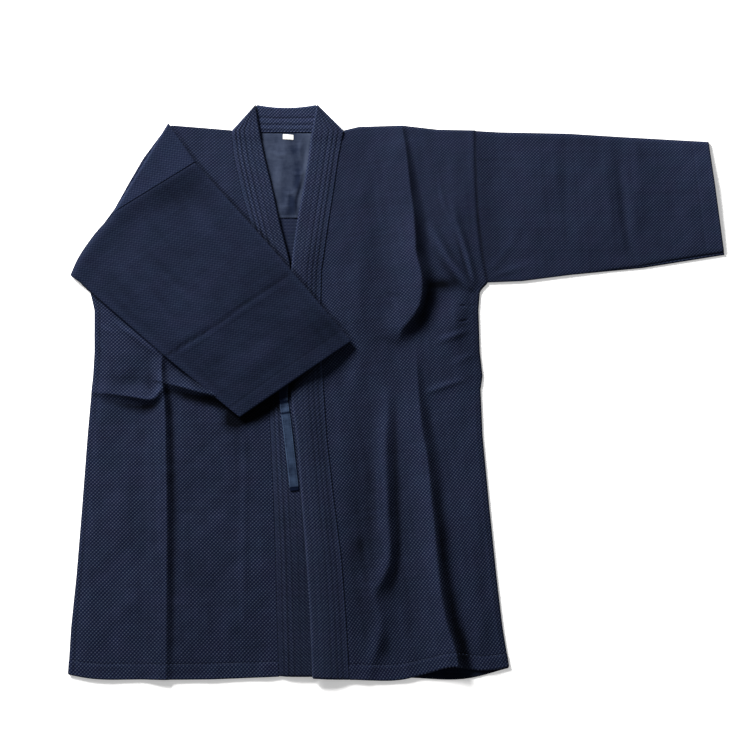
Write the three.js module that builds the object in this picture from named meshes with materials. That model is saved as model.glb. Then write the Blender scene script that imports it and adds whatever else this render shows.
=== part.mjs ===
// A kendo jacket of thick rice-grain cotton, laid flat on its back with its right sleeve folded
// over the front. Millimetres, +X to the wearer's left, +Y towards the collar, +Z up from the table.
// Left and right in the names are the wearer's.
import * as THREE from 'three';

// Cloth and gaps
const CLOTH = 1.8;
const LINING = 1.0;
const TAPE = 1.3;
const LABEL = 0.5;
const SEAM_GAP = 0.3;
const LAY_GAP = 0.3;

// The collar band is the jacket's cloth folded over and quilted
const BAND = 4.0;
const QUILT_ROWS = 5;
const QUILT_RISE = 0.7;

// Main lengths of the jacket as it lies
const SHOULDER_Y = 380;
const HEM_Y = -405;
const UNDERARM_Y = 160;
const ROWS_ABOVE_UNDERARM = 7;
const ROWS_BELOW_UNDERARM = 17;

// Heights at which one layer lies on the next
const BACK_TOP = CLOTH;
const FRONT_REST = BACK_TOP + LAY_GAP;
const FRONT_TOP = FRONT_REST + CLOTH;
const LINING_REST = BACK_TOP + LAY_GAP;
const LINING_TOP = LINING_REST + LINING;

// How far the soft ends of a fold run out, as a share of its length
const FOLD_RUN_OUT = 0.22;

// Sides of the body, from the shoulder to the hem: the folded edge and then the side seam of the
// wearer's right, and the armhole seam and then the side seam of the left
const BODY_SIDES = [
  { y: 380, right: -338, left: 114 },
  { y: 338, right: -370, left: 117 },
  { y: 303, right: -391, left: 119 },
  { y: 267, right: -411, left: 121 },
  { y: 233, right: -436, left: 122 },
  { y: 199, right: -460, left: 124 },
  { y: 174, right: -473, left: 126 },
  { y: 160, right: -459, left: 126 },
  { y: 146, right: -443, left: 120 },
  { y: 120, right: -437, left: 118 },
  { y: 59, right: -437, left: 120 },
  { y: 25, right: -439, left: 124 },
  { y: 5, right: -441, left: 121 },
  { y: -62, right: -447, left: 124 },
  { y: -167, right: -455, left: 134 },
  { y: -264, right: -463, left: 144 },
  { y: -341, right: -471, left: 153 },
  { y: -405, right: -475, left: 162 },
];

// Collar band edges on each front: the inner edge borders the neck opening, the outer is a seam
const COLLAR_EDGES = [
  { y: 417, rightOuter: -205.5, rightInner: -204, leftInner: -115, leftOuter: -113.5 },
  { y: 380, rightOuter: -239, rightInner: -198, leftInner: -122, leftOuter: -76 },
  { y: 344, rightOuter: -236, rightInner: -191, leftInner: -127, leftOuter: -83 },
  { y: 290, rightOuter: -224, rightInner: -178, leftInner: -136, leftOuter: -91 },
  { y: 252, rightOuter: -213, rightInner: -170, leftInner: -143, leftOuter: -97 },
  { y: 177, rightOuter: -195, rightInner: -152, leftInner: -152, leftOuter: -108 },
  { y: 91, rightOuter: -191, rightInner: -146, leftInner: -153, leftOuter: -110 },
  { y: 4, rightOuter: -186, rightInner: -141, leftInner: -153, leftOuter: -105 },
  { y: -68, rightOuter: -182, rightInner: -137, leftInner: -144, leftOuter: -100 },
  { y: -155, rightOuter: -178, rightInner: -130, leftInner: -137, leftOuter: -90 },
  { y: -242, rightOuter: -175, rightInner: -124, leftInner: -130, leftOuter: -79 },
  { y: -320, rightOuter: -173, rightInner: -122, leftInner: -125, leftOuter: -73 },
  { y: -416, rightOuter: -170, rightInner: -120, leftInner: -121, leftOuter: -67 },
];

// Where the main crease of each front runs, from shoulder to hem
const MAIN_CREASES = [
  { y: 380, rightFront: -300, leftFront: 8 },
  { y: 352, rightFront: -306, leftFront: 12 },
  { y: 294, rightFront: -316, leftFront: 24 },
  { y: 244, rightFront: -324, leftFront: 31 },
  { y: 200, rightFront: -330, leftFront: 41 },
  { y: 167, rightFront: -333, leftFront: 50 },
  { y: 135, rightFront: -334, leftFront: 44 },
  { y: 70, rightFront: -334, leftFront: 29 },
  { y: -3, rightFront: -333, leftFront: 34 },
  { y: -68, rightFront: -331, leftFront: 44 },
  { y: -155, rightFront: -331, leftFront: 57 },
  { y: -213, rightFront: -332, leftFront: 64 },
  { y: -300, rightFront: -333, leftFront: 73 },
  { y: -405, rightFront: -334, leftFront: 87 },
];

// The shoulder line above its straight run, across the jacket
const SHOULDER_RISE = [
  { x: -338, rise: 2 },
  { x: -325, rise: 7 },
  { x: -300, rise: 5 },
  { x: -240, rise: 0 },
  { x: -76, rise: 0 },
  { x: -55, rise: 5 },
  { x: 8, rise: 7 },
  { x: 60, rise: 1 },
  { x: 114, rise: 0 },
];

// The hems below the straight run, across the jacket
const BACK_HEM_DROP = [
  { x: -475, drop: 2 },
  { x: -400, drop: 6 },
  { x: -183, drop: 4 },
  { x: 15, drop: 7 },
  { x: 104, drop: 8 },
  { x: 162, drop: -7 },
];
const RIGHT_FRONT_HEM_DROP = [
  { x: -475, drop: 2 },
  { x: -455, drop: 6 },
  { x: -359, drop: 9 },
  { x: -281, drop: 9 },
  { x: -170, drop: 5 },
];
const LEFT_FRONT_HEM_DROP = [
  { x: -67, drop: 12.6 },
  { x: 15, drop: 8 },
  { x: 43, drop: 0 },
  { x: 87, drop: -11 },
  { x: 107, drop: -6 },
  { x: 146, drop: -6 },
  { x: 162, drop: -9 },
];
// How far up a panel its hem or shoulder line bends the rows
const END_BEND = 90;

// Folds of the left front: crest points, height, and how far each side spreads. The cloth
// climbs gently on the wearer's right and drops steeply on the left.
const LEFT_FRONT_FOLDS = [
  {
    height: 8,
    rightSpread: 75,
    leftSpread: 14,
    crest: [{ x: 8, y: 392 }, { x: 12, y: 352 }, { x: 24, y: 294 }, { x: 31, y: 244 }, { x: 50, y: 167 }],
  },
  {
    height: 10,
    rightSpread: 62,
    leftSpread: 13,
    crest: [{ x: 29, y: 78 }, { x: 44, y: -68 }, { x: 64, y: -213 }, { x: 73, y: -300 }, { x: 93, y: -470 }],
  },
  {
    height: 3,
    rightSpread: 35,
    leftSpread: 14,
    crest: [{ x: 1, y: -40 }, { x: 3, y: -150 }, { x: 1, y: -242 }, { x: -14, y: -375 }],
  },
];

// Folds of the right front: the pressed crease down its middle and the one across at mid length
const RIGHT_FRONT_FOLDS = [
  {
    height: 5,
    rightSpread: 40,
    leftSpread: 9,
    crest: [{ x: -334, y: 30 }, { x: -331, y: -68 }, { x: -331, y: -184 }, { x: -334, y: -400 }],
  },
  {
    height: 3,
    rightSpread: 16,
    leftSpread: 22,
    crest: [{ x: -448, y: 7 }, { x: -401, y: 1 }, { x: -355, y: 12 }, { x: -325, y: 19 }],
  },
];

// Left sleeve, stretched out: its top fold, its underarm edge and its cuff
const LEFT_SLEEVE_TOP = [
  { x: 114, y: 380 },
  { x: 149, y: 378 },
  { x: 249, y: 376 },
  { x: 328, y: 371 },
  { x: 452, y: 364 },
];
const LEFT_ARMHOLE = BODY_SIDES
  .filter((side) => side.y >= UNDERARM_Y)
  .map((side) => ({ x: side.left, y: side.y }));
const LEFT_SLEEVE_UNDERARM = [
  { x: 126, y: 160 },
  { x: 182, y: 162 },
  { x: 252, y: 171 },
  { x: 356, y: 181 },
  { x: 475, y: 200 },
];
const LEFT_SLEEVE_WIDTH = 180;
const LEFT_SLEEVE_SECTIONS = 12;
const LEFT_SLEEVE_GAP = 0.7;
// The air left in it, and the pressed crease across it
const SLEEVE_PUFF = 2.4;
const SLEEVE_PUFF_FROM = 0.2;
const SLEEVE_CREASE_AT = 0.6;
const SLEEVE_CREASE_SPREAD = 0.05;
const SLEEVE_CREASE_DEPTH = 0.6;

// Right sleeve, folded over the front: its folded start, its top fold, underarm edge and cuff
const RIGHT_SLEEVE_START = [
  { x: -473, y: 171 },
  { x: -460, y: 199 },
  { x: -436, y: 233 },
  { x: -411.5, y: 259 },
  { x: -291, y: 333 },
];
const RIGHT_SLEEVE_CUFF = [
  { x: -227, y: -35 },
  { x: -65, y: 75 },
];
const RIGHT_SLEEVE_TOP = [
  { x: -291, y: 333 },
  { x: -240, y: 276 },
  { x: -201, y: 233 },
  { x: -152, y: 177 },
  { x: -65, y: 75 },
];
const RIGHT_SLEEVE_UNDERARM = [
  { x: -473, y: 171 },
  { x: -457, y: 159 },
  { x: -336, y: 54 },
  { x: -227, y: -35 },
];
const RIGHT_SLEEVE_WIDTH = 190;
const RIGHT_SLEEVE_LENGTH = 300;
const RIGHT_SLEEVE_SECTIONS = 13;
const RIGHT_SLEEVE_GAP = 1.0;
const FOLDED_LAYERS = 2 * CLOTH + RIGHT_SLEEVE_GAP;
const RIGHT_SLEEVE_POCKET_FROM = 0.3;
// It climbs from the front panel over both collar bands, and its cuff stands clear of the front
const SLEEVE_START_REST = FRONT_TOP + LAY_GAP + 0.4;
const SLEEVE_UNDERARM_CLIMB = 4.0;
const SLEEVE_TOP_CLIMB = 7.0;
const SLEEVE_CLIMB_UNTIL = 0.66;
const SLEEVE_BAND_AT = 0.45;
// The roll of cloth along the fold, and how far the rounded edges reach in
const ROLL_RISE = 3.0;
const ROLL_REACH = 30;
const EDGE_ROUND = 7;
// The share of a layer's height that its rounded edge gives up
const SIDE_DROP = 0.3;
const FOLD_DROP = 0.45;

// The turned shoulder of the back panel: its fold from the peak to the armhole seam
const SHOULDER_PEAK = { x: -331, y: 391 };
const SHOULDER_SEAM_LOW = { x: -411, y: 261.5 };
const SHOULDER_SEAM_HIGH = { x: -291.5, y: 335.5 };
// Its two folded sides stop a little short of the peak, so that it isn't knife sharp
const SHOULDER_BLUNT = 0.96;

// Back of the neck: the band's edges there, and the lining and label below it
const NECK_TOP_Y = 417.6;
const NECK_SEAM_Y = 376.5;
const NECK_BAND_TOP_DIP = 4;
const NECK_BAND = { leftTop: -115, leftFoot: -77, rightTop: -204, rightFoot: -238 };
const LINING_TOP_Y = 374;
const LINING_FOOT_Y = 254;
const LINING_TUCK = 12;
const LABEL_SIZE = { width: 15, height: 7 };
const LABEL_CENTRE = { x: -157.5, y: 369.5 };

// The tie tape, from its end under the sleeve to its free end
const TIE_WIDTH = 14;
const TIE_ROUTE = [
  { x: -160, y: 28 },
  { x: -164, y: 0 },
  { x: -160, y: -40 },
  { x: -156, y: -83 },
  { x: -151, y: -118 },
  { x: -149, y: -143 },
];
const TIE_STEPS = 18;
const TIE_LOOK = 0.02;

// Heights of the bands: over the lining, and below where the left band laps the right
const NECK_BAND_TOP = BAND + QUILT_RISE;
const BAND_REST = LINING_TOP + LAY_GAP;
const PEAK_REST = NECK_BAND_TOP + LAY_GAP;
const LAP_REST = BAND_REST + BAND + QUILT_RISE + LAY_GAP;
const LAP_STARTS_Y = 250;
const LAP_FULL_Y = 195;
const LAP_SHARE = 0.3;
const PEAK_CLEAR_Y = 376;
const PEAK_OVER_Y = 362;

const lerp = (a, b, t) => a + (b - a) * t;
const clamp = (t, low, high) => Math.min(high, Math.max(low, t));
const smooth = (t) => {
  const s = clamp(t, 0, 1);
  return s * s * (3 - 2 * s);
};
const smoothFrom = (a, b, t) => smooth((t - a) / (b - a));

// A column of a table at a given place, straight between its rows
function tableValue(table, by, column, at) {
  const rising = table[table.length - 1][by] > table[0][by];
  const last = table.length - 1;
  let i = 0;
  while (i < last - 1 && (rising ? at > table[i + 1][by] : at < table[i + 1][by])) i += 1;
  const t = clamp((at - table[i][by]) / (table[i + 1][by] - table[i][by]), 0, 1);
  return lerp(table[i][column], table[i + 1][column], t);
}

const sideX = (side, y) => tableValue(BODY_SIDES, 'y', side, y);
const collarX = (edge, y) => tableValue(COLLAR_EDGES, 'y', edge, y);
const creaseX = (front, y) => tableValue(MAIN_CREASES, 'y', front, y);

// A point a share of the way along a line of points, by length
function pointAlong(line, share) {
  const lengths = line.slice(1).map((p, i) => Math.hypot(p.x - line[i].x, p.y - line[i].y));
  let left = clamp(share, 0, 1) * lengths.reduce((sum, length) => sum + length, 0);
  let i = 0;
  while (i < lengths.length - 1 && left > lengths[i]) {
    left -= lengths[i];
    i += 1;
  }
  const t = clamp(left / lengths[i], 0, 1);
  return { x: lerp(line[i].x, line[i + 1].x, t), y: lerp(line[i].y, line[i + 1].y, t) };
}

// A point of the patch that four edge lines bound: across from first to last, along from start to end
function patchPoint(edges, across, along) {
  const start = pointAlong(edges.start, across);
  const end = pointAlong(edges.end, across);
  const first = pointAlong(edges.first, along);
  const last = pointAlong(edges.last, along);
  const corner = (axis) => lerp(
    lerp(edges.start[0][axis], edges.start[edges.start.length - 1][axis], across),
    lerp(edges.end[0][axis], edges.end[edges.end.length - 1][axis], across),
    along,
  );
  const blend = (axis) => (
    lerp(start[axis], end[axis], along) + lerp(first[axis], last[axis], across) - corner(axis)
  );
  return { x: blend('x'), y: blend('y') };
}

// How high one fold lifts the cloth at a place
function foldRise(fold, x, y) {
  let nearest = Infinity;
  let side = 0;
  let run = 0;
  let total = 0;
  for (let i = 0; i < fold.crest.length - 1; i += 1) {
    const a = fold.crest[i];
    const b = fold.crest[i + 1];
    const dx = b.x - a.x;
    const dy = b.y - a.y;
    const length = Math.hypot(dx, dy);
    const t = clamp(((x - a.x) * dx + (y - a.y) * dy) / (length * length), 0, 1);
    const away = Math.hypot(x - a.x - t * dx, y - a.y - t * dy);
    if (away < nearest) {
      nearest = away;
      side = dx * (y - a.y) - dy * (x - a.x);
      run = total + t * length;
    }
    total += length;
  }
  const spread = side > 0 ? fold.leftSpread : fold.rightSpread;
  if (nearest >= spread) return 0;
  const across = (1 + Math.cos(Math.PI * nearest / spread)) / 2;
  const share = run / total;
  const ends = smooth(share / FOLD_RUN_OUT) * smooth((1 - share) / FOLD_RUN_OUT);
  return fold.height * across * ends;
}

const foldsRise = (folds, x, y) => Math.max(0, folds.reduce((sum, fold) => sum + foldRise(fold, x, y), 0));

// Rows of a body panel from the shoulder to the hem
const evenly = (from, to, steps) => Array.from({ length: steps + 1 }, (_, i) => lerp(from, to, i / steps));
const BODY_ROWS = [
  ...evenly(SHOULDER_Y, UNDERARM_Y, ROWS_ABOVE_UNDERARM),
  ...evenly(UNDERARM_Y, HEM_Y, ROWS_BELOW_UNDERARM).slice(1),
];

// A row's true height on the table once the shoulder line and the hem bend it
function bentY(y, x, hem) {
  const shoulder = tableValue(SHOULDER_RISE, 'x', 'rise', x) * (1 - smooth((SHOULDER_Y - y) / END_BEND));
  const drop = tableValue(hem, 'x', 'drop', x) * (1 - smooth((y - HEM_Y) / END_BEND));
  return y + shoulder - drop;
}

// Builds a closed body from rows of points below and the same rows above
function closedWall(under, over) {
  const rows = under.length;
  const columns = under[0].length;
  const positions = [...under.flat(), ...over.flat()].flatMap((p) => [p.x, p.y, p.z]);
  const low = (r, c) => r * columns + c;
  const high = (r, c) => rows * columns + low(r, c);
  const faces = [];
  const quad = (a, b, c, d) => faces.push(a, b, c, a, c, d);
  for (let r = 0; r < rows - 1; r += 1) {
    for (let c = 0; c < columns - 1; c += 1) {
      quad(high(r, c), high(r + 1, c), high(r + 1, c + 1), high(r, c + 1));
      quad(low(r, c), low(r, c + 1), low(r + 1, c + 1), low(r + 1, c));
    }
    quad(high(r, 0), low(r, 0), low(r + 1, 0), high(r + 1, 0));
    quad(high(r, columns - 1), high(r + 1, columns - 1), low(r + 1, columns - 1), low(r, columns - 1));
  }
  for (let c = 0; c < columns - 1; c += 1) {
    quad(high(0, c), high(0, c + 1), low(0, c + 1), low(0, c));
    quad(high(rows - 1, c), low(rows - 1, c), low(rows - 1, c + 1), high(rows - 1, c + 1));
  }
  return bodyGeometry(positions, faces);
}

// Indexed triangles, turned round as a whole if they face inwards
function bodyGeometry(positions, faces) {
  const at = (i) => new THREE.Vector3(positions[3 * i], positions[3 * i + 1], positions[3 * i + 2]);
  let volume = 0;
  for (let i = 0; i < faces.length; i += 3) {
    volume += at(faces[i]).dot(at(faces[i + 1]).cross(at(faces[i + 2])));
  }
  if (volume < 0) faces.reverse();
  const geometry = new THREE.BufferGeometry();
  geometry.setAttribute('position', new THREE.Float32BufferAttribute(positions, 3));
  geometry.setIndex(faces);
  geometry.computeVertexNormals();
  return geometry;
}

// A wall over a grid of places on the table, from a rest height up through its thickness
function wallOver(places, restHeight, thickness) {
  const under = places.map((row) => row.map((p) => ({ x: p.x, y: p.y, z: restHeight(p) })));
  const over = places.map((row) => row.map((p) => ({ x: p.x, y: p.y, z: restHeight(p) + thickness(p) })));
  return closedWall(under, over);
}

// Shares of the way across a front: to the crease, and from it to the far edge
const TO_CREASE = [0, 0.2, 0.42, 0.64, 0.84, 0.95, 1];
const PAST_CREASE_MM = [5, 12, 26];
const PAST_CREASE = [0.4, 0.7, 1];

// Places across a row between two edges, closer together at the crease
function creasedRow(start, crease, end) {
  const toCrease = TO_CREASE.map((share) => lerp(start, crease, share));
  const step = PAST_CREASE_MM.map((away) => crease + away);
  const rest = PAST_CREASE.map((share) => lerp(step[step.length - 1], end, share));
  return [...toCrease, ...step, ...rest];
}

// The back's columns, four of which spread to the neck seam at the top
const BACK_SHARES = [0, 0.16, 0.32, 0.46, 0.6, 0.78, 0.9, 1];
const NECK_SHARES = [0.16, 0.32, 0.46, 0.6];
const NECK_SEAM_X = [-241, -198, -122, -74];
const NECK_COLUMNS_FROM_Y = 150;
const NECK_COLUMNS_TO_Y = 300;

function backPanel() {
  const places = BODY_ROWS.map((y) => {
    const start = sideX('right', y);
    const end = sideX('left', y);
    return BACK_SHARES.map((share) => {
      const neckAt = NECK_SHARES.indexOf(share);
      const even = lerp(start, end, share);
      const spread = smoothFrom(NECK_COLUMNS_FROM_Y, NECK_COLUMNS_TO_Y, y);
      const x = neckAt < 0 ? even : lerp(even, NECK_SEAM_X[neckAt], spread);
      const atNeck = neckAt >= 0 && y === SHOULDER_Y;
      return { x, y: atNeck ? NECK_SEAM_Y - SEAM_GAP : bentY(y, x, BACK_HEM_DROP) };
    });
  });
  return wallOver(places, () => 0, () => CLOTH);
}

// Beside the collar band the left front stands a little higher than farther out
const BESIDE_BAND_RISE = 1.4;
const BESIDE_BAND_REACH = 70;
const besideBand = (distance) => BESIDE_BAND_RISE * (1 - smooth(distance / BESIDE_BAND_REACH));

function leftFrontPanel() {
  const places = BODY_ROWS.map((y) => {
    const start = collarX('leftOuter', y) + SEAM_GAP;
    return creasedRow(start, creaseX('leftFront', y), sideX('left', y)).map((x) => (
      { x, y: bentY(y, x, LEFT_FRONT_HEM_DROP), fromBand: x - start }
    ));
  });
  const rest = (p) => FRONT_REST + besideBand(p.fromBand) + foldsRise(LEFT_FRONT_FOLDS, p.x, p.y);
  return wallOver(places, rest, () => CLOTH);
}

function rightFrontPanel() {
  const places = BODY_ROWS.map((y) => {
    const end = collarX('rightOuter', y) - SEAM_GAP;
    return creasedRow(sideX('right', y), creaseX('rightFront', y), end).map((x) => (
      { x, y: bentY(y, x, RIGHT_FRONT_HEM_DROP) }
    ));
  });
  const rest = (p) => FRONT_REST + foldsRise(RIGHT_FRONT_FOLDS, p.x, p.y);
  return wallOver(places, rest, () => CLOTH);
}

// Rows of the band above the shoulder, and how far its end hangs below the straight run
const BAND_PEAK_ROWS = [416.6, 404, 392];
const BAND_HEM_DROP = 10;

// Quilting across the band: a raised row between each pair of stitching lines
const QUILT_COLUMNS = evenly(0, 1, 2 * QUILT_ROWS);
const quiltRise = (column) => (column % 2 === 1 ? QUILT_RISE : 0);

const lap = (y) => smoothFrom(LAP_STARTS_Y, LAP_FULL_Y, y);
const overNeckBand = (y) => smoothFrom(PEAK_OVER_Y, PEAK_CLEAR_Y, y);

function collarBand(inner, outer, innerRest, outerRest) {
  const places = [...BAND_PEAK_ROWS, ...BODY_ROWS].map((y) => (
    QUILT_COLUMNS.map((share, column) => {
      const x = lerp(collarX(inner, y), collarX(outer, y), share);
      const drop = BAND_HEM_DROP * (1 - smooth((y - HEM_Y) / END_BEND));
      return { x, y: y - drop, share, column };
    })
  ));
  const rest = (p) => lerp(
    lerp(innerRest(p.y), outerRest(p.y), smoothFrom(LAP_SHARE, 1, p.share)),
    PEAK_REST,
    overNeckBand(p.y),
  );
  return wallOver(places, rest, (p) => BAND + quiltRise(p.column));
}

const leftCollarBand = () => collarBand(
  'leftInner',
  'leftOuter',
  (y) => lerp(BAND_REST, LAP_REST, lap(y)),
  (y) => lerp(BAND_REST, FRONT_REST + BESIDE_BAND_RISE, lap(y)),
);

const rightCollarBand = () => collarBand(
  'rightInner',
  'rightOuter',
  () => BAND_REST,
  () => FRONT_REST + SEAM_GAP,
);

function neckCollarBand() {
  const acrossShares = [0, 0.15, 0.3, 0.5, 0.7, 0.85, 1];
  const places = QUILT_COLUMNS.map((along, column) => {
    const start = lerp(NECK_BAND.rightTop, NECK_BAND.rightFoot, along);
    const end = lerp(NECK_BAND.leftTop, NECK_BAND.leftFoot, along);
    return acrossShares.map((across) => {
      const dip = NECK_BAND_TOP_DIP * 4 * across * (1 - across) * (1 - along);
      return { x: lerp(start, end, across), y: lerp(NECK_TOP_Y, NECK_SEAM_Y, along) - dip, column };
    });
  });
  return wallOver(places, () => 0, (p) => BAND + quiltRise(p.column));
}

const LINING_STEPS = 6;

function neckLining() {
  const places = evenly(LINING_TOP_Y, LINING_FOOT_Y, LINING_STEPS).map((y) => {
    const start = collarX('rightInner', y) - LINING_TUCK;
    const end = collarX('leftInner', y) + LINING_TUCK;
    return [0, 0.25, 0.5, 0.75, 1].map((share) => ({ x: lerp(start, end, share), y }));
  });
  return wallOver(places, () => LINING_REST, () => LINING);
}

function labelPiece() {
  const half = { x: LABEL_SIZE.width / 2, y: LABEL_SIZE.height / 2 };
  const places = [1, -1].map((up) => [-1, 1].map((side) => (
    { x: LABEL_CENTRE.x + side * half.x, y: LABEL_CENTRE.y + up * half.y }
  )));
  return wallOver(places, () => LINING_TOP + LAY_GAP, () => LABEL);
}

// Rounds a layer's edge off: 0 at the edge and 1 past the reach
const roundedEdge = (distance, reach) => {
  const near = clamp(1 - distance / reach, 0, 1);
  return Math.sqrt(1 - near * near);
};

// A flattened tube from its two layers at each section. Its mouth is open at the end, and at the
// start too unless it is closed there, where the two layers meet in a rounded fold.
function flattenedTube(outerSections, innerSections, closedStart) {
  const ring = outerSections[0].length;
  const positions = [...outerSections.flat(), ...innerSections.flat()].flatMap((p) => [p.x, p.y, p.z]);
  const outer = (s, i) => s * ring + (i % ring);
  const inner = (s, i) => (outerSections.length + s) * ring + (i % ring);
  const faces = [];
  const quad = (a, b, c, d) => faces.push(a, b, c, a, c, d);
  const lastOuter = outerSections.length - 1;
  const lastInner = innerSections.length - 1;
  for (let i = 0; i < ring; i += 1) {
    for (let s = 0; s < lastOuter; s += 1) {
      quad(outer(s, i), outer(s, i + 1), outer(s + 1, i + 1), outer(s + 1, i));
    }
    for (let s = 0; s < lastInner; s += 1) {
      quad(inner(s, i), inner(s + 1, i), inner(s + 1, i + 1), inner(s, i + 1));
    }
    quad(outer(lastOuter, i), outer(lastOuter, i + 1), inner(lastInner, i + 1), inner(lastInner, i));
    if (!closedStart) quad(outer(0, i + 1), outer(0, i), inner(0, i), inner(0, i + 1));
  }
  if (closedStart) {
    const half = ring / 2;
    const cap = (vertex, turned) => {
      for (let i = 0; i < half; i += 1) {
        const corners = [vertex(0, i), vertex(0, i + 1), vertex(0, ring - i - 1), vertex(0, ring - i)];
        const used = corners.filter((corner, at) => corners.indexOf(corner) === at);
        if (turned) used.reverse();
        for (let k = 1; k < used.length - 1; k += 1) faces.push(used[0], used[k + 1], used[k]);
      }
    };
    cap(outer, false);
    cap(inner, true);
  }
  return bodyGeometry(positions, faces);
}

// One ring of a flattened tube: up the top layer from edge to edge and back along the lower
function flatRing(shares, place, inset, lowHeight, highHeight) {
  const point = (share, high) => {
    const p = place(lerp(inset, 1 - inset, share));
    return { x: p.x, y: p.y, z: high ? highHeight(p, share) : lowHeight(p, share) };
  };
  const edge = (share) => {
    const p = point(share, true);
    return { ...p, z: (p.z + point(share, false).z) / 2 };
  };
  const inside = shares.slice(1, -1);
  return [
    edge(0),
    ...inside.map((share) => point(share, true)),
    edge(1),
    ...[...inside].reverse().map((share) => point(share, false)),
  ];
}

// Shares across a sleeve and along the folded one, closer together where it is rounded
const SLEEVE_SHARES = [0, 0.02, 0.07, 0.2, 0.36, 0.5, 0.64, 0.8, 0.93, 0.98, 1];
const ROUNDED_START = [0, 0.008, 0.03];
const EVEN_FROM = 0.08;
const sideRound = (share, width) => roundedEdge(Math.min(share, 1 - share) * width, EDGE_ROUND);

function leftSleeve() {
  const edges = {
    start: LEFT_ARMHOLE,
    end: [LEFT_SLEEVE_TOP[LEFT_SLEEVE_TOP.length - 1], LEFT_SLEEVE_UNDERARM[LEFT_SLEEVE_UNDERARM.length - 1]],
    first: LEFT_SLEEVE_TOP,
    last: LEFT_SLEEVE_UNDERARM,
  };
  const layers = 2 * CLOTH + LEFT_SLEEVE_GAP;
  const puff = (share, along) => {
    const crease = Math.exp(-(((along - SLEEVE_CREASE_AT) / SLEEVE_CREASE_SPREAD) ** 2));
    return SLEEVE_PUFF * Math.sin(Math.PI * share) * smooth(along / SLEEVE_PUFF_FROM)
      * (1 - SLEEVE_CREASE_DEPTH * crease);
  };
  const section = (along, skin) => {
    const place = (across) => {
      const p = patchPoint(edges, across, along);
      return { x: p.x + 2 * SEAM_GAP * (1 - along), y: p.y };
    };
    const drop = (share) => SIDE_DROP * layers * (1 - sideRound(share, LEFT_SLEEVE_WIDTH));
    return flatRing(
      SLEEVE_SHARES,
      place,
      skin / LEFT_SLEEVE_WIDTH,
      (p, share) => skin + drop(share),
      (p, share) => layers - skin + puff(share, along) - drop(share),
    );
  };
  const alongs = evenly(0, 1, LEFT_SLEEVE_SECTIONS);
  return flattenedTube(
    alongs.map((along) => section(along, 0)),
    alongs.map((along) => section(along, CLOTH)),
    false,
  );
}

// The underside of the folded sleeve, across from its underarm edge and along to its cuff
function sleeveRest(across, along) {
  const climbed = smooth(along / SLEEVE_CLIMB_UNTIL);
  const overBands = SLEEVE_TOP_CLIMB * smooth(across / SLEEVE_BAND_AT);
  return SLEEVE_START_REST + climbed * (SLEEVE_UNDERARM_CLIMB + overBands);
}

function rightSleeve() {
  const edges = {
    start: RIGHT_SLEEVE_START,
    end: RIGHT_SLEEVE_CUFF,
    first: RIGHT_SLEEVE_UNDERARM,
    last: RIGHT_SLEEVE_TOP,
  };
  const section = (along, skin) => {
    const fromStart = along * RIGHT_SLEEVE_LENGTH;
    const roll = ROLL_RISE * (1 - smooth(fromStart / ROLL_REACH));
    const startDrop = FOLD_DROP * (1 - roundedEdge(fromStart, EDGE_ROUND));
    const sideDrop = (share) => SIDE_DROP * (1 - sideRound(share, RIGHT_SLEEVE_WIDTH));
    return flatRing(
      SLEEVE_SHARES,
      (across) => patchPoint(edges, across, along),
      skin / RIGHT_SLEEVE_WIDTH,
      (p, share) => sleeveRest(share, along) + skin + FOLDED_LAYERS * sideDrop(share),
      (p, share) => sleeveRest(share, along) - skin
        + (FOLDED_LAYERS + roll) * (1 - Math.max(startDrop, sideDrop(share))),
    );
  };
  const outer = [...ROUNDED_START, ...evenly(EVEN_FROM, 1, RIGHT_SLEEVE_SECTIONS)];
  const pocket = outer.filter((along) => along >= RIGHT_SLEEVE_POCKET_FROM);
  return flattenedTube(
    outer.map((along) => section(along, 0)),
    pocket.map((along) => section(along, CLOTH)),
    true,
  );
}

function rightShoulder() {
  const fold = [SHOULDER_SEAM_LOW, SHOULDER_PEAK];
  const open = [SHOULDER_SEAM_HIGH, SHOULDER_PEAK];
  const rows = [0, 0.04, 0.2, 0.4, 0.6, 0.8, 0.93, 1];
  const columns = [0, 0.03, 0.1, 0.3, 0.55, 0.8, 0.95, 1];
  const places = rows.map((row) => {
    const a = pointAlong(fold, row * SHOULDER_BLUNT);
    const b = pointAlong(open, row * SHOULDER_BLUNT);
    const width = Math.hypot(b.x - a.x, b.y - a.y);
    return columns.map((share) => ({
      x: lerp(a.x, b.x, share),
      y: lerp(a.y, b.y, share),
      fromFold: share * width,
      fromOpen: (1 - share) * width,
    }));
  });
  const height = (p) => {
    const edge = Math.min(roundedEdge(p.fromFold, EDGE_ROUND), roundedEdge(p.fromOpen, EDGE_ROUND));
    const roll = ROLL_RISE * (1 - smooth(p.fromFold / ROLL_REACH));
    return (FOLDED_LAYERS + roll) * (1 - FOLD_DROP * (1 - edge));
  };
  return wallOver(places, () => SLEEVE_START_REST, height);
}

function tieTape() {
  const places = evenly(0, 1, TIE_STEPS).map((share) => {
    const p = pointAlong(TIE_ROUTE, share);
    const ahead = pointAlong(TIE_ROUTE, share + TIE_LOOK);
    const behind = pointAlong(TIE_ROUTE, share - TIE_LOOK);
    const length = Math.hypot(ahead.x - behind.x, ahead.y - behind.y);
    const side = { x: -(ahead.y - behind.y) / length, y: (ahead.x - behind.x) / length };
    return [-0.5, 0, 0.5].map((away) => (
      { x: p.x + side.x * away * TIE_WIDTH, y: p.y + side.y * away * TIE_WIDTH }
    ));
  });
  const rest = BAND_REST + BAND + QUILT_RISE + LAY_GAP;
  return wallOver(places, () => rest, () => TAPE);
}

const indigo = (hex, roughness) => new THREE.MeshStandardMaterial({ color: hex, roughness, metalness: 0 });

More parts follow.
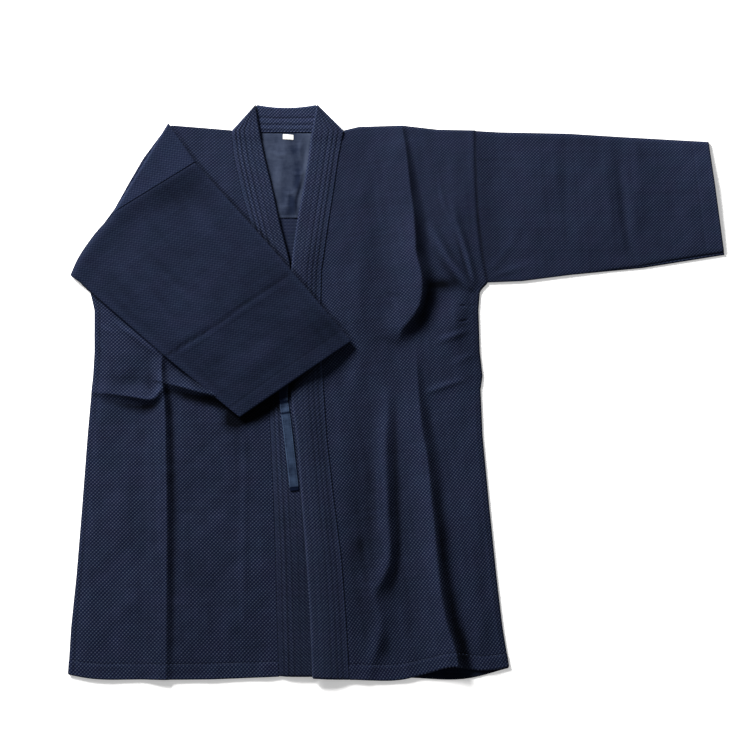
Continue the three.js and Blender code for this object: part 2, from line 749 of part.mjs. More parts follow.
const PIECES = [
  { name: 'back', shape: backPanel, colour: 0x222a3d, roughness: 0.95 },
  { name: 'left_front', shape: leftFrontPanel, colour: 0x242b3e, roughness: 0.95 },
  { name: 'right_front', shape: rightFrontPanel, colour: 0x232a3d, roughness: 0.95 },
  { name: 'left_collar', shape: leftCollarBand, colour: 0x1f2536, roughness: 0.95 },
  { name: 'right_collar', shape: rightCollarBand, colour: 0x282f42, roughness: 0.95 },
  { name: 'neck_collar', shape: neckCollarBand, colour: 0x2a3145, roughness: 0.95 },
  { name: 'left_sleeve', shape: leftSleeve, colour: 0x21283b, roughness: 0.95 },
  { name: 'right_sleeve', shape: rightSleeve, colour: 0x232a3f, roughness: 0.95 },
  { name: 'right_shoulder', shape: rightShoulder, colour: 0x2c3244, roughness: 0.95 },
  { name: 'neck_lining', shape: neckLining, colour: 0x353d51, roughness: 0.8 },
  { name: 'label', shape: labelPiece, colour: 0xe9e7e0, roughness: 0.7 },
  { name: 'tie', shape: tieTape, colour: 0x344058, roughness: 0.85 },
];

const jacket = new THREE.Group();
PIECES.forEach((piece) => {
  const mesh = new THREE.Mesh(piece.shape(), indigo(piece.colour, piece.roughness));
  mesh.name = piece.name;
  jacket.add(mesh);
});

export default jacket;
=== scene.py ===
import math

import bpy
import numpy as np
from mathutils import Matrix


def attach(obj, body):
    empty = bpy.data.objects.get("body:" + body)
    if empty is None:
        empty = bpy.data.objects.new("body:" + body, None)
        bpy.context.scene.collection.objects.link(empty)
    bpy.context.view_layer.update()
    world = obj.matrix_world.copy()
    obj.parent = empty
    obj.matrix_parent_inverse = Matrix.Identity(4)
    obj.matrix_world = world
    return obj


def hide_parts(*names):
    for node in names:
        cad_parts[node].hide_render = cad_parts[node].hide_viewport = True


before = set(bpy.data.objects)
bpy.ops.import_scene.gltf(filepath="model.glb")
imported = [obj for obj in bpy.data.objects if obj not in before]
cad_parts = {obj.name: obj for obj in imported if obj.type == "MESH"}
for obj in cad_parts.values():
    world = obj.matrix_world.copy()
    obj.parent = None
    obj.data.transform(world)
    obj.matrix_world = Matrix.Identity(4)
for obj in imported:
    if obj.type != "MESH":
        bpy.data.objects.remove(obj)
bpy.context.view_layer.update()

# A kendo jacket of rice-grain cotton laid flat, its right sleeve folded over the front.
# Tables are in millimetres: +X to the wearer's left, +Y to the collar, +Z up from the table.
# Left and right are the wearer's. Meshes are in metres.
MM = 0.001

# Cloth and how the layers lie
CLOTH = 1.8
LINING = 1.0
BAND = 4.0
SEAM_GAP = 0.3
LAY_GAP = 0.3
FRONT_REST = CLOTH + LAY_GAP
FRONT_TOP = FRONT_REST + CLOTH
LINING_TOP = FRONT_REST + LINING
QUILT_RISE = 0.7
BAND_REST = LINING_TOP + LAY_GAP
PEAK_REST = BAND + QUILT_RISE + LAY_GAP
LAP_REST = BAND_REST + BAND + QUILT_RISE + LAY_GAP

SHOULDER_Y = 380
HEM_Y = -405
UNDERARM_Y = 160
HEM_WIDTH = 20
END_BEND = 90

# Sides of the body from shoulder to hem: y, the wearer's right, the wearer's left
BODY_SIDES = (
    (380, -338, 114), (338, -370, 114), (303, -391, 115), (267, -411, 117), (233, -436, 120),
    (199, -460, 124), (174, -473, 129), (160, -459, 132), (152, -450, 124), (146, -443, 120),
    (120, -437, 118),
    (59, -437, 120), (25, -439, 124), (5, -441, 121), (-62, -447, 124), (-167, -455, 134),
    (-264, -463, 144), (-341, -471, 153), (-405, -475, 162),
)
# Collar band: y, right outer seam, right inner edge, left inner edge, left outer seam
COLLAR_EDGES = (
    (417, -205.5, -204, -115, -113.5), (380, -239, -198, -122, -76), (344, -236, -191, -127, -83),
    (290, -224, -178, -136, -91), (252, -213, -170, -143, -97), (177, -195, -152, -152, -108),
    (91, -191, -146, -153, -110), (4, -186, -141, -153, -105), (-68, -182, -137, -144, -100),
    (-155, -178, -130, -137, -90), (-242, -175, -124, -130, -79), (-320, -173, -122, -125, -73),
    (-416, -170, -120, -121, -67),
)
# Main crease: y, on the right front, on the left front
MAIN_CREASES = (
    (380, -300, 8), (352, -306, 12), (294, -316, 24), (244, -324, 31), (200, -330, 41),
    (167, -333, 50), (135, -334, 44), (70, -334, 29), (-3, -333, 34), (-68, -331, 44),
    (-155, -331, 57), (-213, -332, 64), (-300, -333, 73), (-405, -334, 87),
)
# The shoulder line and the hems, across the jacket: x, how far above or below the straight run
SHOULDER_RISE = (
    (-338, 2), (-325, 7), (-300, 5), (-240, 0), (-76, 0), (-55, 5), (8, 7), (60, 1), (114, 0),
)
BACK_HEM_DROP = ((-475, 2), (-400, 6), (-183, 4), (15, 7), (104, 8), (162, -7))
RIGHT_HEM_DROP = ((-475, 2), (-455, 6), (-359, 9), (-281, 9), (-170, 5))
LEFT_HEM_DROP = ((-67, 9.5), (15, 8), (43, 0), (87, -11), (107, -6), (146, -6), (162, -9))

# Folds. Each has how sharp its crest is, then rows along the crest: x, y, height, and how far
# the cloth takes to fall on the right and on the left of someone who walks along the rows
CHEST_FOLD = (1.0, (
    (4, 398, 1.2, 50, 7), (8, 377, 3.2, 55, 7), (14, 345, 5, 60, 9), (19, 302, 8, 62, 15),
    (24, 264, 11, 62, 19), (27, 226, 14, 62, 21), (28, 203, 16, 62, 22), (35, 175, 17.5, 62, 23),
    (37, 152, 18, 62, 23), (34, 130, 16.5, 60, 22), (22, 108, 13.5, 56, 21), (9, 93, 9, 50, 20),
    (0, 70, 0, 44, 18),
))
SKIRT_FOLD = (1.0, (
    (28, 76, 0, 30, 14), (30, 30, 4.5, 40, 16), (33, -15, 7, 44, 18), (38, -59, 9, 46, 20),
    (44, -91, 10.5, 48, 23), (48, -130, 12, 50, 25), (53.5, -183, 13.5, 52, 27),
    (58, -232, 14.5, 54, 29), (61, -262, 15, 56, 30), (65, -293, 15.5, 58, 30), (72, -330, 16, 60, 29),
    (80, -362, 16.5, 62, 28), (87, -390, 16.5, 62, 24), (92, -440, 16.5, 62, 24),
))
ARMPIT_FOLDS = (
    (0.3, ((112, 147, 0, 8, 10), (104, 156, 3.6, 8, 11), (93, 171, 5.6, 9, 12), (78, 190, 6.2, 10, 13),
           (66, 210, 5.4, 11, 14), (57, 226, 3.8, 12, 14), (46, 248, 0, 12, 14))),
    (0.3, ((116, 154, 0, 5, 7), (110, 171, 2.6, 7, 8), (103, 198, 3.6, 8, 9), (94, 226, 3.4, 9, 10),
           (85, 252, 2.2, 10, 10), (78, 290, 0, 10, 10))),
    (0.2, ((84, 232, 0, 6, 5), (76, 254, 1.2, 6, 5), (66, 282, 1.2, 7, 6), (60, 310, 0, 7, 6))),
    (0.2, ((110, 95, 0, 7, 9), (92, 87, 1.8, 7, 9), (72, 80, 2.2, 7, 9), (56, 76, 0, 7, 9))),
    (0.2, ((116, 60, 0, 8, 9), (96, 50, 1.2, 8, 9), (74, 40, 0, 8, 9))),
    (0.4, ((40, 0, 0, 6, 6), (56, 5, 2.0, 6, 9), (78, 13, 2.2, 6, 9), (104, 22, 0, 6, 6))),
)
ARMPIT_PUCKERS = (
    (0.3, ((90, 126, 0, 2.6, 2.6), (96, 126.5, -1.5, 2.6, 2.6), (102, 126, 0, 2.6, 2.6))),
    (0.3, ((105, 126.5, 0, 2.6, 2.6), (112, 126, -1.6, 2.6, 2.6), (119.5, 127, -1.0, 2.6, 2.6))),
    (0.3, ((111, 142, 0, 2.4, 2.4), (115, 143.5, -1.4, 2.4, 2.4), (119.5, 145, -1.0, 2.4, 2.4))),
    (0.3, ((88, 103, 0, 2.6, 2.6), (97, 104.5, -1.4, 2.6, 2.6), (105, 107, 0, 2.6, 2.6))),
    (0.3, ((106, 112, 0, 2.4, 2.4), (112, 114, -1.1, 2.4, 2.4), (117, 117, -0.8, 2.4, 2.4))),
)
LEFT_SKIRT_FOLDS = (
    (0.9, ((-12, 10, 0, 24, 14), (-13, -30, 3.5, 26, 15), (-15, -70, 6, 28, 15),
           (-14, -119, 7.5, 30, 15), (-13, -151, 8.5, 30, 15), (-12, -180, 9, 30, 15),
           (-10, -203, 9, 30, 15), (-9, -228, 8.5, 30, 15), (-12, -250, 7.5, 28, 16),
           (-20, -270, 6, 26, 18), (-30, -290, 3.6, 24, 20), (-26, -312, 2.4, 22, 20),
           (-22, -330, 2.6, 22, 18), (-26, -357, 3.6, 22, 16), (-33, -377, 2.6, 22, 14),
           (-38, -398, 1, 22, 14))),
    (0.3, ((-26, -100, 0, 5, 5), (-27, -130, 1.0, 5, 5), (-25, -180, 1.0, 5, 5), (-23, -220, 0, 5, 5))),
    (0.0, ((-46, 330, 0, 22, 22), (-52, 200, 1.0, 22, 22), (-58, 40, 1.0, 22, 22),
           (-60, -80, 0.4, 22, 22))),
)
LEFT_FRONT_FOLDS = (CHEST_FOLD, SKIRT_FOLD, *ARMPIT_FOLDS, *LEFT_SKIRT_FOLDS, *ARMPIT_PUCKERS)
# Where a panel stands off what is below it, or sinks: x, y, height, half width, half length
LEFT_FRONT_LOFTS = (
    (80, 275, 3.2, 34, 100), (112, 60, 1.6, 34, 80), (-58, -233, -1.6, 16, 30),
    (-62, -310, -1.2, 14, 26), (-20, 330, 1.2, 46, 70), (118, -200, 2.4, 30, 170),
    (-40, 120, 1.8, 40, 110), (84, 108, 5.0, 24, 24), (72, 70, 2.5, 26, 34),
)
# Painted shadow on the cloth that lies in the shelter of the folded sleeve, along its underarm edge, below
# its cuff and beside its top edge
SLEEVE_SHADE = (
    (0, ((-440, 140, -0.2, 6, 6), (-336, 52, -0.5, 8, 8), (-280, 6, -0.9, 12, 12),
         (-232, -36, -1.2, 18, 18))),
    (0, ((-240, -42, -1.5, 20, 20), (-212, -26, -3.4, 30, 30), (-184, -8, -3.6, 32, 32),
         (-162, 8, -2.8, 27, 27), (-140, 22, -1.4, 14, 14), (-110, 42, -0.6, 8, 8), (-90, 56, 0, 8, 8))),
    (0, ((-329, 388, -0.3, 4, 4), (-289, 334, -0.9, 4, 4), (-238, 277, -1.0, 5, 5),
         (-199, 234, -1.1, 5, 5), (-150, 178, -1.1, 5, 5), (-110, 131, -0.9, 5, 5),
         (-62, 76, -0.5, 4, 4))),
)
# Painted shade, mostly in hollows and in the lee of folds, and some painted light:
# x, y, how much, half width, half length
LEFT_FRONT_SHADE_AND_LIGHT = (
    (66, 158, -1.9, 22, 9), (50, 140, -1.3, 14, 16), (38, 112, -0.9, 12, 20), (98, 300, 0.35, 14, 70),
    (-45, -200, -0.25, 30, 160), (120, -70, 0.2, 24, 80), (24, 104, -0.6, 14, 18),
    (-50, -240, -0.5, 30, 140), (-58, -236, -0.4, 12, 20), (-60, -165, -0.3, 10, 18),
    (-30, 80, -0.25, 26, 60), (40, -250, -0.25, 30, 120), (-10, -282, -0.6, 16, 20),
    (-17, -360, -0.8, 10, 14), (-53, -219, -0.5, 10, 12), (132, -350, -0.4, 14, 30),
    (137, -228, 0.15, 10, 40),
)
# Painted shade along lines, in the lee of folds and in the folded sleeve's shadow, rows as in the folds
LEFT_FRONT_SHADE_LINES = (
    *SLEEVE_SHADE,
    (0, ((62, 200, 0, 9, 5), (70, 188, -0.5, 12, 6), (82, 170, -0.7, 14, 6), (94, 158, -0.3, 10, 5),
         (104, 148, 0, 6, 4))),
    (0, ((84, 236, 0, 4, 4), (90, 214, -0.6, 4, 4), (100, 180, -0.7, 4, 4), (107, 160, 0, 4, 4))),
    (0, ((42, -10, 0, 6, 6), (46, -40, -0.6, 9, 9), (56, -110, -0.5, 11, 10), (63, -170, -1.1, 12, 11),
         (68, -215, -1.4, 13, 12), (73, -262, -1.4, 16, 12), (82, -315, -1.6, 18, 13),
         (94, -365, -1.8, 18, 14), (102, -405, -1.6, 18, 14))),
    (0, ((-3, 0, 0, 7, 7), (-3, -60, -0.5, 8, 7), (0, -130, -0.8, 8, 7), (3, -228, -0.9, 8, 7),
         (-3, -268, -0.6, 9, 8), (-12, -292, 0, 10, 8))),
)
RIGHT_FRONT_FOLDS = (
    (1.0, ((-338, 66, 2.4, 26, 8), (-339.5, 42, 4.5, 24, 8), (-339, 22, 6, 22, 8), (-337, 4, 7, 26, 9),
           (-335, -15, 7.2, 32, 10), (-334, -42, 7, 38, 11), (-333.5, -80, 6.6, 40, 11),
           (-332, -184, 6, 40, 11), (-333, -300, 5, 40, 11), (-334, -400, 3.6, 40, 11),
           (-334, -440, 3.2, 40, 11))),
    (0.9, ((-452, 2, 1.2, 9, 20), (-437, 1, 2.6, 10, 24), (-408, -1.5, 4.6, 11, 26),
           (-379, -5.8, 7, 11, 26), (-361, -9, 7.6, 11, 24), (-350, -7, 7, 11, 20),
           (-342.5, 2, 5.5, 10, 14), (-338.5, 12, 0, 9, 12))),
    (0.9, ((-337, 15, 3, 10, 22), (-318, 11, 7, 12, 30), (-301, 6.5, 8.6, 13, 32), (-281, 1, 9, 13, 32),
           (-262, -4, 8, 13, 30), (-245, -10, 5, 13, 28), (-230, -14, 0, 13, 24))),
    (0.5, ((-410, 108, 0, 6, 9), (-396, 94, 2.4, 7, 10), (-376, 80, 3.6, 7, 10), (-356, 64, 3.2, 7, 10),
           (-343, 54, 0, 6, 9))),
    (0.2, ((-441, 92, 0, 6, 6), (-428, 70, 1.6, 6, 7), (-418, 52, 0, 6, 6))),
    (0.2, ((-434, 100, 0, 5, 6), (-420, 92, 1.2, 5, 6), (-404, 84, 0, 5, 6))),
    (0.2, ((-221, -30, 0, 12, 7), (-220, -120, 1.0, 12, 7), (-221, -260, 1.0, 12, 7),
           (-222, -400, 0.5, 12, 7))),
    (0.0, ((-395, -60, 0, 30, 30), (-400, -180, 1.2, 30, 30), (-398, -300, 0, 30, 30))),
)
RIGHT_FRONT_LOFTS = (
    (-392, 62, 4.0, 44, 34), (-290, -60, 1.2, 40, 60), (-270, -250, 1.4, 50, 120),
    (-420, -330, 1.4, 40, 80), (-400, -150, 1.2, 30, 60), (-240, -350, 1.0, 30, 60),
)
# Painted shade and painted light laid into the colour: x, y, how much, half width, half length
RIGHT_FRONT_SHADE_AND_LIGHT = (
    (-395, 20, -0.5, 34, 8), (-395, -200, 0.1, 40, 130), (-280, -260, -0.1, 40, 120),
    (-235, -60, -0.4, 16, 60), (-290, -60, -0.1, 30, 60), (-310, 30, -0.45, 20, 12),
    (-395, 8, -0.2, 30, 9), (-300, -350, -0.14, 60, 50), (-200, -370, -0.16, 26, 40),
    (-440, -300, -0.1, 26, 80),
)
# Painted shade along lines, in the lee of folds and in the folded sleeve's shadow
RIGHT_FRONT_SHADE_LINES = (
    (0, ((-434, -8, 0, 9, 6), (-405, -14, -0.8, 11, 7), (-375, -20, -1.5, 13, 8),
         (-354, -19, -1.5, 12, 8), (-341, -8, 0, 7, 7))),
    (0, ((-334, 4, -0.5, 9, 7), (-315, 0, -1.2, 13, 9), (-298, -5, -1.7, 15, 10),
         (-275, -10, -1.8, 15, 11), (-250, -16, -1.2, 13, 12))),
    (0, ((-333, 40, 0, 4, 5), (-332, 0, -0.8, 5, 7), (-328, -40, -1.0, 6, 9), (-326, -110, -0.9, 6, 11),
         (-326, -250, -0.8, 6, 11), (-327, -340, -0.6, 6, 10), (-328, -400, -0.1, 6, 8))),
    *SLEEVE_SHADE,
)
# The left sleeve, stretched out
LEFT_SLEEVE_TOP = ((114, 380), (149, 378), (249, 376), (328, 371), (452, 364))
LEFT_SLEEVE_UNDERARM = ((132, 160), (182, 162), (252, 171), (356, 181), (475, 200))
LEFT_SLEEVE_GAP = 0.7
LEFT_SLEEVE_FOLDS = (
    (0.4, ((319, 380, -0.8, 12, 14), (320, 345, -1.4, 12, 13), (325, 300, -1.9, 12, 10),
           (330, 250, -2.0, 12, 8), (336, 215, -1.7, 10, 8), (345, 178, -1.0, 10, 9))),
    (0.4, ((332, 330, 0, 6, 12), (337, 290, 0.7, 6, 12), (341, 250, 0.8, 6, 12), (347, 205, 0, 6, 12))),
    (0.1, ((344, 376, 0, 8, 16), (346, 330, 1.0, 8, 18), (346, 270, 1.0, 8, 18), (350, 215, 0, 8, 16))),
    (0.1, ((300, 376, 0, 16, 12), (303, 320, 0.9, 18, 10), (310, 250, 0.9, 18, 10),
           (318, 190, 0, 16, 10))),
    (0.2, ((238, 378, 0, 14, 14), (244, 300, -1.1, 14, 14), (252, 200, 0, 14, 14))),
    (0.2, ((130, 172, 0, 8, 8), (144, 188, 0.8, 8, 9), (164, 214, 0.8, 9, 10), (186, 252, 0, 9, 10))),
    (0.2, ((132, 166, 0, 6, 6), (160, 176, 1.2, 7, 8), (196, 188, 0, 7, 8))),
)
# The right sleeve, folded over the front
RIGHT_SLEEVE_START = ((-473, 171), (-460, 199), (-436, 233), (-411.5, 259), (-291, 333))
RIGHT_SLEEVE_CUFF = ((-227, -35), (-65, 75))
RIGHT_SLEEVE_TOP = ((-291, 333), (-240, 276), (-201, 233), (-152, 177), (-65, 75))
RIGHT_SLEEVE_UNDERARM = ((-473, 171), (-457, 159), (-336, 54), (-227, -35))
RIGHT_SLEEVE_GAP = 1.0
RIGHT_SLEEVE_FOLDS = (
    (0.8, ((-140, 186, -0.6, 4, 7), (-149, 178, -1.0, 4, 7), (-191, 147, -1.2, 4, 7),
           (-222, 127, -1.3, 4, 7), (-248, 108, -1.5, 4, 7), (-273, 90, -1.7, 5, 7),
           (-305, 72, -1.8, 5, 8), (-335, 53, -1.8, 5, 8))),
    (0.2, ((-145, 172, 0, 12, 5), (-187, 142, 0.5, 12, 5), (-243, 103, 0.7, 12, 5),
           (-300, 67, 0.8, 12, 5), (-328, 49, 0.6, 12, 5))),
    (0.3, ((-444, 163, 0, 7, 9), (-400, 124, -1.7, 7, 10), (-345, 77, -1.9, 7, 10),
           (-300, 40, -1.2, 7, 9), (-262, 8, -1.0, 7, 9), (-236, -14, 0, 7, 8))),
    (0.0, ((-420, 196, 0, 20, 20), (-380, 156, 1.6, 20, 20), (-330, 100, 1.4, 20, 20),
           (-290, 60, 0, 20, 20))),
    (0.0, ((-300, 280, 0, 24, 24), (-270, 230, 1.4, 24, 24), (-230, 180, 0, 24, 24))),
    (0.0, ((-250, 20, 0, 26, 26), (-200, 50, 1.6, 26, 26), (-150, 90, 0, 26, 26))),
    (0.0, ((-390, 220, 0, 12, 12), (-350, 190, -1.0, 12, 12), (-300, 150, -1.0, 12, 12),
           (-250, 130, 0, 12, 12))),
)
# Painted shade along the folded sleeve's packing crease
RIGHT_SLEEVE_SHADE_LINES = (
    (0, ((-138, 188, -0.2, 3, 3), (-149, 178, -0.5, 3, 3), (-191, 147, -0.5, 3, 3),
         (-222, 127, -0.6, 3, 3), (-248, 108, -0.7, 3, 3), (-273, 90, -0.8, 3, 3),
         (-305, 72, -0.9, 3, 3), (-336, 52, -0.9, 3, 3))),
)
# Painted shade and painted light laid into the folded sleeve's colour: x, y, how much, half width, half
# length
RIGHT_SLEEVE_SHADE_AND_LIGHT = (
    (-390, 220, 0.2, 30, 40), (-200, 120, -0.12, 50, 50), (-300, 285, -0.5, 40, 26),
    (-180, 160, -0.25, 40, 50), (-110, 90, -0.6, 36, 30), (-330, 110, 0.25, 44, 44),
    (-235, 40, 0.15, 26, 36), (-440, 190, 0.25, 24, 30), (-160, 40, -0.3, 40, 18),
)
FOLDED_LAYERS = 2 * CLOTH + RIGHT_SLEEVE_GAP
FOLD_LIFT = 0.4
SLEEVE_START_REST = FRONT_TOP + LAY_GAP + FOLD_LIFT
SLEEVE_UNDERARM_CLIMB = 4.0
SLEEVE_TOP_CLIMB = 7.0
SLEEVE_CLIMB_UNTIL = 0.66
SLEEVE_TIP_DROOP = 3.6
SLEEVE_BAND_AT = 0.45
ROLL_RISE = 3.0
ROLL_REACH = 30
EDGE_ROUND = 7
SHOULDER_PEAK = (-331, 391)
SHOULDER_SEAM_LOW = (-411.3, 260.3)
SHOULDER_SEAM_HIGH = (-291.3, 334.3)

# Neck, lining, label and tie
NECK_TOP_Y = 417.6
NECK_SEAM_Y = 376.5
NECK_DIP = 4
LINING_TOP_Y = 375.8
LINING_FOOT_Y = 254
LINING_TUCK = 12
LABEL_WIDTH, LABEL_HEIGHT = 15, 7
LABEL_X, LABEL_Y = -156.8, 370.6
LABEL_TILT = -0.08
TIE_WIDTH = 12
TIE_THICK = 1.3
TIE_ROUTE = ((-160, 28), (-164, 0), (-159, -40), (-154, -83), (-150, -118), (-147.5, -141))

# Photograph's frame: 750 pixels wide at 1.45 mm a pixel, looking straight down on its middle
VIEW_WIDTH = 750 * 1.45 * MM
VIEW_CENTRE = (-31.2 * MM, 26.1 * MM)
CAMERA_HEIGHT = 3.0
SENSOR = 36

rng = np.random.default_rng(41)


def set_camera():
    data = bpy.data.cameras.new("overhead")
    data.sensor_width = SENSOR
    data.lens = SENSOR * CAMERA_HEIGHT / VIEW_WIDTH
    camera = bpy.data.objects.new("overhead", data)
    camera.location = (*VIEW_CENTRE, CAMERA_HEIGHT)
    bpy.context.collection.objects.link(camera)
    bpy.context.scene.camera = camera


set_camera()


# Working with lines and heights

def smooth(t):
    s = np.clip(t, 0, 1)
    return s * s * (3 - 2 * s)


def curve(table, column, at):
    """A column of a table as a smooth curve through its rows."""
    rows = np.array(sorted(table), float)
    xs, ys = rows[:, 0], rows[:, column]
    slopes = np.gradient(ys, xs)
    at = np.clip(at, xs[0], xs[-1])
    i = np.clip(np.searchsorted(xs, at) - 1, 0, len(xs) - 2)
    width = xs[i + 1] - xs[i]
    t = (at - xs[i]) / width
    start = ys[i] * (1 + 2 * t) * (1 - t) ** 2 + slopes[i] * width * t * (1 - t) ** 2
    end = ys[i + 1] * t * t * (3 - 2 * t) + slopes[i + 1] * width * t * t * (t - 1)
    return start + end


def side_x(column, y):
    return np.interp(y, *np.array(sorted(BODY_SIDES), float)[:, [0, column]].T)


def collar_x(column, y):
    if column in (1, 4):
        return np.interp(y, *np.array(sorted(COLLAR_EDGES), float)[:, [0, column]].T)
    return curve(COLLAR_EDGES, column, y)


def along_line(line, share):
    """Points a share of the way along a line of points, by length."""
    points = np.array(line, float)
    lengths = np.hypot(*np.diff(points[:, :2], axis=0).T)
    run = np.concatenate([[0], np.cumsum(lengths)]) / lengths.sum()
    return np.stack([np.interp(share, run, points[:, k]) for k in range(points.shape[1])], -1)


def smooth_line(line, steps=8):
    """The same line with rounded corners."""
    points = np.array(line, float)
    run = np.arange(len(points))
    at = np.linspace(0, len(points) - 1, steps * (len(points) - 1) + 1)
    columns = [np.column_stack([run, points[:, k]]) for k in range(points.shape[1])]
    return np.stack([curve([tuple(row) for row in c], 1, at) for c in columns], -1)


# The longer side of a fold is softer than the side where the cloth falls away
LONG_SIDE_SHARPNESS = 0.35


def fold_rise(fold, x, y):
    """How high one fold lifts the cloth at each place."""
    sharp, rows = fold
    points = smooth_line(rows)
    reach = points[:, 3:].max()
    near = (x > points[:, 0].min() - reach) & (x < points[:, 0].max() + reach)
    near &= (y > points[:, 1].min() - reach) & (y < points[:, 1].max() + reach)
    px, py = x[near], y[near]
    nearest = np.full(px.shape, np.inf)
    side, height, right, left = (np.zeros(px.shape) for _ in range(4))
    for a, b in zip(points[:-1], points[1:]):
        d = b - a
        t = np.clip(((px - a[0]) * d[0] + (py - a[1]) * d[1]) / (d[0] ** 2 + d[1] ** 2), 0, 1)
        away = np.hypot(px - a[0] - t * d[0], py - a[1] - t * d[1])
        closer = away < nearest
        nearest = np.where(closer, away, nearest)
        side = np.where(closer, d[0] * (py - a[1]) - d[1] * (px - a[0]), side)
        height = np.where(closer, a[2] + t * d[2], height)
        right = np.where(closer, a[3] + t * d[3], right)
        left = np.where(closer, a[4] + t * d[4], left)
    reach, other_reach = np.where(side > 0, left, right), np.where(side > 0, right, left)
    q = np.clip(nearest / reach, 0, 1)
    soft = (1 + np.cos(np.pi * q)) / 2
    crisp = (1 - q) ** 2
    sharp = np.where(reach <= other_reach, sharp, sharp * LONG_SIDE_SHARPNESS)
    rise = np.zeros(x.shape)
    rise[near] = height * ((1 - sharp) * soft + sharp * crisp)
    return rise


def folds_rise(folds, x, y):
    return sum(fold_rise(fold, x, y) for fold in folds)


def lofts_rise(lofts, x, y):
    total = np.zeros(x.shape)
    for cx, cy, height, across, along in lofts:
        total += height * np.exp(-((x - cx) / across) ** 2 - ((y - cy) / along) ** 2)
    return total


WAVE_SPREAD = (0.7, 1.5)


def unevenness(x, y, seed, wave, count=10):
    """A gentle irregular height, about 1 either way, with waves of about one length."""
    draws = np.random.default_rng(seed)
    total = np.zeros(np.broadcast(x, y).shape)
    for _ in range(count):
        heading, phase = draws.uniform(0, 2 * np.pi, 2)
        length = wave * draws.uniform(*WAVE_SPREAD)
        total += np.sin((x * np.cos(heading) + y * np.sin(heading)) * 2 * np.pi / length + phase)
    return total / math.sqrt(count)


def groove(distance, at, width):
    """1 in the middle of a stitched groove, falling to 0 beside it."""
    return np.exp(-((distance - at) / width) ** 2)


CREST_LIMIT = 1.5


# Added to the colour, this lightens crests as rubbed wear and darkens hollows as painted shade
def crests(height, passes=20):
    """How far each place of a grid stands above the cloth around it."""
    level = height
    for _ in range(passes):
        around = np.pad(level, 1, mode="edge")
        level = (around[:-2, 1:-1] + around[2:, 1:-1] + around[1:-1, :-2] + around[1:-1, 2:]) / 4
    return np.clip(height - level, -CREST_LIMIT, CREST_LIMIT)


def rounded(distance, reach):
    """0 at an edge, rising as a quarter circle to 1 at the end of its reach."""
    near = np.clip(1 - distance / reach, 0, 1)
    return np.sqrt(1 - near * near)


# Two places of a grid are never closer than this
CLOSEST = 0.35


def spaced(low, high, step, fine=()):
    """Places from low to high a step apart, and closer around each (place, reach, step)."""
    places = list(np.linspace(low, high, max(2, round((high - low) / step) + 1)))
    for at, reach, small in fine:
        a, b = max(low, at - reach), min(high, at + reach)
        places = [p for p in places if not a < p < b]
        places += list(np.linspace(a, b, max(2, round((b - a) / small) + 1)))
    places = np.unique(np.round(places, 3))
    keep = np.concatenate([[True], np.diff(places) > CLOSEST])
    keep[-1] = True
    if places[-1] - places[:-1][keep[:-1]][-1] < CLOSEST:
        keep[np.nonzero(keep[:-1])[0][-1]] = False
    return places[keep]


# Making meshes

def make_mesh(name, points, faces, uv, material):
    mesh = bpy.data.meshes.new(name)
    mesh.from_pydata((np.asarray(points) * MM).tolist(), [], faces)
    layer = mesh.uv_layers.new(name="cloth")
    corners = np.empty(len(mesh.loops), np.int32)
    mesh.loops.foreach_get("vertex_index", corners)
    layer.data.foreach_set("uv", (np.asarray(uv) * MM)[corners].astype(np.float32).ravel())
    mesh.polygons.foreach_set("use_smooth", np.ones(len(mesh.polygons), bool))
    mesh.materials.append(material)
    mesh.update()
    piece = bpy.data.objects.new(name, mesh)
    bpy.context.collection.objects.link(piece)
    return piece


def set_measure(piece, name, values):
    """A number at each point, which the piece's finish reads."""
    attribute = piece.data.attributes.new(name, "FLOAT", "POINT")
    attribute.data.foreach_set("value", np.asarray(values, np.float32))


def quads(a, b, c, d):
    return np.stack([a, b, c, d], -1).reshape(-1, 4)


# How far the middle of a wall's rim stands out, as a share of its thickness
PANEL_BULGE = 0.45
BAND_BULGE = 0.3
FOLDED_BULGE = 0.2


def cloth_shell(name, x, y, under, over, uv, material, wear_light_and_shade, bulge=PANEL_BULGE):
    """A closed wall of cloth between two heights over a grid, with a rounded rim."""
    rows, columns = x.shape
    top = np.stack([x, y, over], -1).reshape(-1, 3)
    bottom = np.stack([x, y, under], -1).reshape(-1, 3)
    index = np.arange(rows * columns).reshape(rows, columns)
    loop = np.concatenate([index[0, :-1], index[:-1, -1], index[-1, :0:-1], index[:0:-1, 0]])
    ahead = top[np.roll(loop, -1), :2] - top[np.roll(loop, 1), :2]
    out = np.stack([ahead[:, 1], -ahead[:, 0]], -1)
    out /= np.maximum(np.hypot(*out.T), 1e-6)[:, None]
    centre = top[:, :2].mean(0)
    if ((top[loop, :2] - centre) * out).sum() < 0:
        out = -out
    middle = (top[loop] + bottom[loop]) / 2
    thick = (top[loop, 2] - bottom[loop, 2])[:, None]
    middle[:, :2] += out * thick * bulge
    count = len(top)
    points = np.concatenate([top, bottom, middle])
    rim = 2 * count + np.arange(len(loop))
    after, rim_after = np.roll(loop, -1), np.roll(rim, -1)
    faces = np.concatenate([
        quads(index[:-1, :-1], index[1:, :-1], index[1:, 1:], index[:-1, 1:]),
        quads(index[:-1, :-1], index[:-1, 1:], index[1:, 1:], index[1:, :-1]) + count,
        quads(loop, after, rim_after, rim),
        quads(rim, rim_after, after + count, loop + count),
    ])
    flat = points[faces[0]]
    facing = np.cross(flat[1] - flat[0], flat[2] - flat[0])[2]
    if facing < 0:
        faces = faces[:, ::-1]
    uv = np.asarray(uv).reshape(-1, 2)
    piece = make_mesh(name, points, faces.tolist(), np.concatenate([uv, uv, uv[loop]]), material)
    # Wear with painted shade and painted light at each point, none on the underside
    wear_light_and_shade = np.asarray(wear_light_and_shade).ravel()
    set_measure(piece, "wear_light_and_shade", np.concatenate([wear_light_and_shade, wear_light_and_shade * 0, wear_light_and_shade[loop]]))
    return piece


GRAIN_CELL = 5.0
